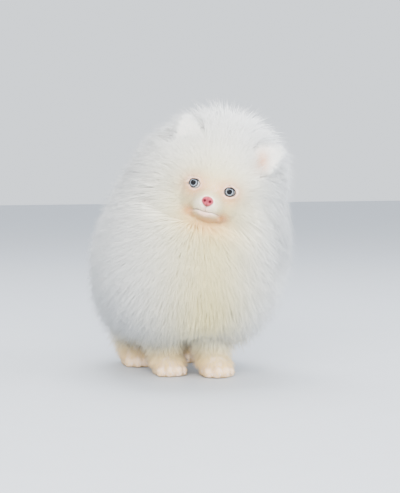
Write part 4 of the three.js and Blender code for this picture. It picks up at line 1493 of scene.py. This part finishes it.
@dataclass
class Features:
    """Eyes, nose and claws: the pieces that aren't skin or hair."""

    dog: Dog
    shift: np.ndarray
    # The eyeball is sunk a little behind its lids, and its cornea bulges over an angle in radians.
    eye_sink: float = 0.5
    bulge: float = 0.9
    bulge_angle: float = 0.6
    gazes: tuple = ((0.04, -1.0, 0.0), (-0.28, -1.0, 0.03))
    # The upper lid's shade on the eye: as dark as the iris's rim, over these heights above its middle.
    lid_shade: float = 0.205
    shaded_heights: tuple = (1.6, 3.4)
    rim_radius: float = 0.52
    # The left nostril's place in the nose and its half sizes, how deep it is, and the groove between the two.
    nostril_at: tuple = (2.9, -4.9, 0.4)
    nostril_size: tuple = (1.55, 3.0, 1.4)
    nostril_depth: float = 2.4
    groove_width: float = 0.7
    groove_depth: float = 0.5
    # A claw: the angle that it bends through, its length, its drop and its radius at the root and the tip.
    claw_bend: float = 1.1
    claw_long: float = 6.5
    claw_drop: float = 5.0
    claw_radii: tuple = (1.5, 0.1)

    def eye(self, side: int, material: bpy.types.Material) -> bpy.types.Object:
        """One eyeball with a bulging cornea: radius plus the bulge times exp of minus the angle squared.

        Args:
            side: 1 for the dog's left, -1 for its right.
            material: the finish.

        Returns:
            The piece.
        """
        head = self.dog.head
        points, faces = sphere_grid(40, 56)
        gaze = unit(np.array(self.gazes[0 if side > 0 else 1]))
        angle = np.arccos(np.clip(points @ gaze, -1, 1))
        cornea = self.bulge * np.exp(-((angle / self.bulge_angle) ** 2))
        radius = head.eye_radius - self.eye_sink + cornea
        placed = head.out(head.eye(side) + points * radius[:, None])
        name = "left" if side > 0 else "right"
        made = mesh_object(f"Eyeball_{name}", (placed + self.shift) * MM, faces)
        shaded = self.lid_shade * smoothstep(points[:, 2] * radius, *self.shaded_heights)
        store_ring(made, np.maximum(angle / np.pi, shaded))
        made.data.materials.append(material)
        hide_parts(f"eye_{name}")
        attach(made, "root")
        return made

    def nose(self, material: bpy.types.Material) -> bpy.types.Object:
        """The nose: broad above, narrow below, flat in front, with two comma-shaped nostrils pressed in.

        Args:
            material: the finish.

        Returns:
            The piece.
        """
        head = self.dog.head
        points, faces = sphere_grid(46, 64)
        narrow = 1 - 0.28 * np.maximum(0, -points[:, 2])
        wide, long, tall = head.nose_size
        flat = np.maximum(points[:, 1], -0.82)
        p = np.stack([points[:, 0] * wide * narrow, flat * long, points[:, 2] * tall], 1)
        hole = np.zeros(len(p))
        for side in (1, -1):
            d = (p - np.array(self.nostril_at) * (side, 1, 1)) / np.array(self.nostril_size)
            hole = np.maximum(hole, np.exp(-np.sum(d**2, 1) * 0.9))
        groove = np.exp(-((p[:, 0] / self.groove_width) ** 2)) * (p[:, 1] < -2) * self.groove_depth
        p[:, 1] += self.nostril_depth * hole + groove
        placed = head.out(p + np.array(head.nose_at))
        made = mesh_object("Nose_leather", (placed + self.shift) * MM, faces)
        # The stored value darkens the nostrils, partly their dark red and partly painted shade in the hollow,
        # and paints shade under the nose and in its groove.
        store_ring(made, np.clip(hole * 1.5 + 0.5 * smoothstep(-points[:, 2], 0.2, 0.9) + groove, 0, 1))
        made.data.materials.append(material)
        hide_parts("nose")
        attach(made, "root")
        return made

    def rims(self, material: bpy.types.Material) -> bpy.types.Object:
        """The dark moist rims of the lids, the line of the mouth, and a dark line of painted shade for a
        cleft below the nose.

        Args:
            material: the finish.

        Returns:
            The piece.
        """
        head = self.dog.head
        turns = np.linspace(0, 2 * np.pi, 49)[:-1]
        wide, tall = head.lid_opening
        tubes = []
        for side in (1, -1):
            across = 0.97 * wide * np.cos(turns) + side * head.lid_outwards
            up = 0.97 * tall * np.where(turns < np.pi, np.sin(turns) / head.upper_lid, np.sin(turns))
            up += side * head.lid_slant * across
            radius = head.eye_radius + 0.35
            ahead = -np.sqrt(radius**2 - across**2 - up**2)
            path = head.eye(side) + np.stack([across, ahead, up], 1)
            tubes.append(tube(path, self.rim_radius, 6, closed=True))
        t = np.linspace(-1, 1, 41)
        at = np.linspace(-1, 1, len(head.line))
        smooth = np.stack([np.interp(t, at, head.line[:, k]) for k in range(3)], 1)
        thin = 0.4 * (1 - 0.8 * t**4) * (1 - 0.4 * t)
        tubes.append(tube(smooth + np.array([0, 0.3, 0]), thin, 6, closed=False))
        # A dark line below the nose, where no cleft is carved: painted shade of the cleft.
        fall = np.linspace(head.nose_at[2] - head.nose_size[2] * 0.8, head.mouth_middle, 9)
        tubes.append(tube(head.on_muzzle(0 * fall, fall, 0.2), 0.3, 6, closed=False))
        made = joined("Lid_rims_and_mouth_line", tubes, lambda p: (head.out(p) + self.shift) * MM)
        made.data.materials.append(material)
        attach(made, "root")
        return made

    def claws(self, material: bpy.types.Material) -> bpy.types.Object:
        """Sixteen short curved claws, each a circle that shrinks along a quarter turn down to a point.

        Args:
            material: the finish.

        Returns:
            The piece.
        """
        bend = np.linspace(0, self.claw_bend, 9)[:, None]
        down = 1.2 - self.claw_drop * (1 - np.cos(bend))
        curve = np.hstack([0 * bend, -self.claw_long * np.sin(bend), down])
        tubes = []
        for x, y in self.dog.soles.values():
            for across, ahead, radius in self.dog.toes:
                base = np.array([x + across, y + ahead - radius * 0.72, radius * 0.55 + 1.0])
                tubes.append(tube(base + curve, np.linspace(*self.claw_radii, 9), 10, closed=False))
        made = joined("Claws", tubes, lambda p: (p + self.shift) * MM)
        made.data.materials.append(material)
        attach(made, "root")
        return made


def placed(right: np.ndarray, up: np.ndarray, back: np.ndarray, place: np.ndarray) -> Matrix:
    """The matrix of an object with the given axes, at the given place in metres.

    Args:
        right: its x axis.
        up: its y axis.
        back: its z axis.
        place: its origin.

    Returns:
        The matrix.
    """
    matrix = np.eye(4)
    matrix[:3] = np.stack([right, up, back, place], 1)
    return Matrix(matrix.tolist())


@dataclass(frozen=True)
class Lamp:
    """A square soft light: its place and side in metres, and its power in watts."""

    name: str
    at: tuple
    side: float
    watts: float
    colour: str
    mirrored: bool = False  # whether it shows as a glint on wet surfaces

    def build(self) -> None:
        """Makes the light, facing the middle of the dog."""
        data = bpy.data.lights.new(self.name, "AREA")
        data.size = self.side
        data.energy = self.watts
        data.color = to_linear(self.colour)[:3]
        made = new_object(self.name, data)
        back = unit(np.array(self.at) - np.array([0, 0, 0.16]))
        right = unit(np.cross([0, 0, 1], back))
        made.matrix_world = placed(right, np.cross(back, right), back, np.array(self.at))
        made.visible_glossy = self.mirrored


@dataclass
class Studio:
    """A pale floor, soft lights and the camera at the photograph's angle."""

    shift: np.ndarray
    azimuth: float = -22.0
    elevation: float = 3.5
    distance: float = 1500.0
    target: tuple = (10.7, -12.1, 142.0)
    focal_pixels: float = 1364.0
    picture_height: float = 493.0
    sensor: float = 36.0
    half_floor: float = 6.0
    surroundings: tuple = ("#dfe5ec", 1.75)
    lamps: tuple = (
        Lamp("Key", (-0.65, -1.9, 0.85), 1.3, 110.0, "#fffaf2"),
        Lamp("Fill", (1.5, -1.2, 0.6), 1.4, 58.0, "#f2f6ff"),
        Lamp("Top", (0.1, 0.5, 1.9), 1.2, 52.0, "#ffffff"),
        Lamp("Glint", (-1.5, -1.5, 1.3), 0.6, 26.0, "#ffffff", mirrored=True),
    )

    def build(self) -> None:
        """Makes the floor, the camera, the lights and the surroundings."""
        self.floor()
        self.camera()
        for lamp in self.lamps:
            lamp.build()
        world = bpy.data.worlds.new("Soft_surroundings")
        bpy.context.scene.world = world
        world.use_nodes = True
        background = world.node_tree.nodes["Background"]
        hex_colour, strength = self.surroundings
        background.inputs[0].default_value = to_linear(hex_colour)
        background.inputs[1].default_value = strength

    def floor(self) -> None:
        """A wide flat floor at the height of the soles."""
        corners = self.half_floor * np.array([[-1, -1, 0], [1, -1, 0], [1, 1, 0], [-1, 1, 0]])
        made = mesh_object("Floor", corners, np.array([[0, 1, 2, 3]]), smooth=False)
        made.data.materials.append(PlainFinish("pale_floor", "#c3c8cf", 0.55, 40.0).build())
        made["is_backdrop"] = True

    def camera(self) -> None:
        """The camera, aimed at the target along the photograph's view."""
        a, e = np.radians(self.azimuth), np.radians(self.elevation)
        back = np.array([np.sin(a) * np.cos(e), -np.cos(a) * np.cos(e), np.sin(e)])
        right = np.array([np.cos(a), np.sin(a), 0])
        place = (np.array(self.target) + back * self.distance + self.shift) * MM
        data = bpy.data.cameras.new("Camera")
        data.sensor_width = self.sensor
        data.lens = self.focal_pixels / self.picture_height * self.sensor
        made = new_object("Camera", data)
        made.matrix_world = placed(right, np.cross(back, right), back, place)
        bpy.context.scene.camera = made


TUFTINGS = (
    Tufting(Stretch.FACE, Slot.COAT, 17000, 0.72, 2, 6, FACE_LEAN),
    Tufting(Stretch.HEAD_LEFT, Slot.COAT, 10500, 1.5, 3, 12, HEAD_LEAN),
    Tufting(Stretch.HEAD_RIGHT, Slot.COAT, 10500, 1.5, 3, 12, HEAD_LEAN),
    Tufting(Stretch.NECK_LEFT, Slot.COAT, 10300, 1.7, 3, 12, NECK_LEAN),
    Tufting(Stretch.NECK_RIGHT, Slot.COAT, 10300, 1.7, 3, 12, NECK_LEAN),
    Tufting(Stretch.CHEST, Slot.COAT, 10500, 1.9, 3, 14),
    Tufting(Stretch.SIDE_LEFT, Slot.COAT, 8300, 2.2, 3, 14),
    Tufting(Stretch.SIDE_RIGHT, Slot.COAT, 8300, 2.2, 3, 14),
    Tufting(Stretch.LEGS, Slot.LEGS, 12500, 1.2, 2, 6),
    Tufting(Stretch.TAIL, Slot.COAT, 3300, 1.9, 3, 9),
    Tufting(Stretch.EARS, Slot.EARS, 5200, 0.75, 2, 6),
)


def find_shift(dog: Dog) -> np.ndarray:
    """What the dog's frame was moved by, in millimetres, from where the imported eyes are.

    Args:
        dog: the dog in its own frame.

    Returns:
        The shift.
    """
    boxes = [np.array(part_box(f"eye_{side}")).mean(0) / MM for side in ("left", "right")]
    nominal = dog.head.out(np.array([[0.0, dog.head.eye_depth, 0.0]]))[0]
    return (boxes[0] + boxes[1]) / 2 - nominal


def main(frame_box: tuple) -> None:
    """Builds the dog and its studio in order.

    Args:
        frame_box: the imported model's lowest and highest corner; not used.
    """
    dog = Dog()
    shift = find_shift(dog)
    LOG.info("the dog's frame is moved by %s mm", shift.round(2))
    Studio(shift).build()
    markings = Markings(dog)
    hair = HairFinish("white_spitz_hair").build()
    skin_finish = HairFinish("pale_skin_with_down", base="#f3efe9", cream="#f1e2cb", stain="#e3b48e").build()
    skin, vertices, quads = Skin(dog, markings).build(shift)
    skin.data.materials.append(skin_finish)
    legs = list(dog.soles)
    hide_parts("head", "neck", "torso", "tail", "ear_left", "ear_right", *legs)
    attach(skin, "root")
    LOG.info("skin: %d faces", len(skin.data.polygons))
    coat = Coat(dog, markings, vertices, quads)
    for tufting in TUFTINGS:
        made = coat.grow(tufting, shift, hair)
        LOG.info("%s: %d triangles", made.name, len(made.data.polygons))
    features = Features(dog, shift)
    eye_finish = EyeFinish().build()
    for side in (1, -1):
        features.eye(side, eye_finish)
    features.nose(NoseFinish().build())
    features.rims(PlainFinish("dark_rim_skin_and_cleft_shade", "#1f100d", 0.3, 0.8).build())
    features.claws(PlainFinish("pale_claw_horn", "#e6cfc0", 0.35, 1.0).build())


if __name__ == "__main__":
    logging.basicConfig(level=logging.INFO, format="%(name)s: %(message)s")
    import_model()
    main(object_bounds())
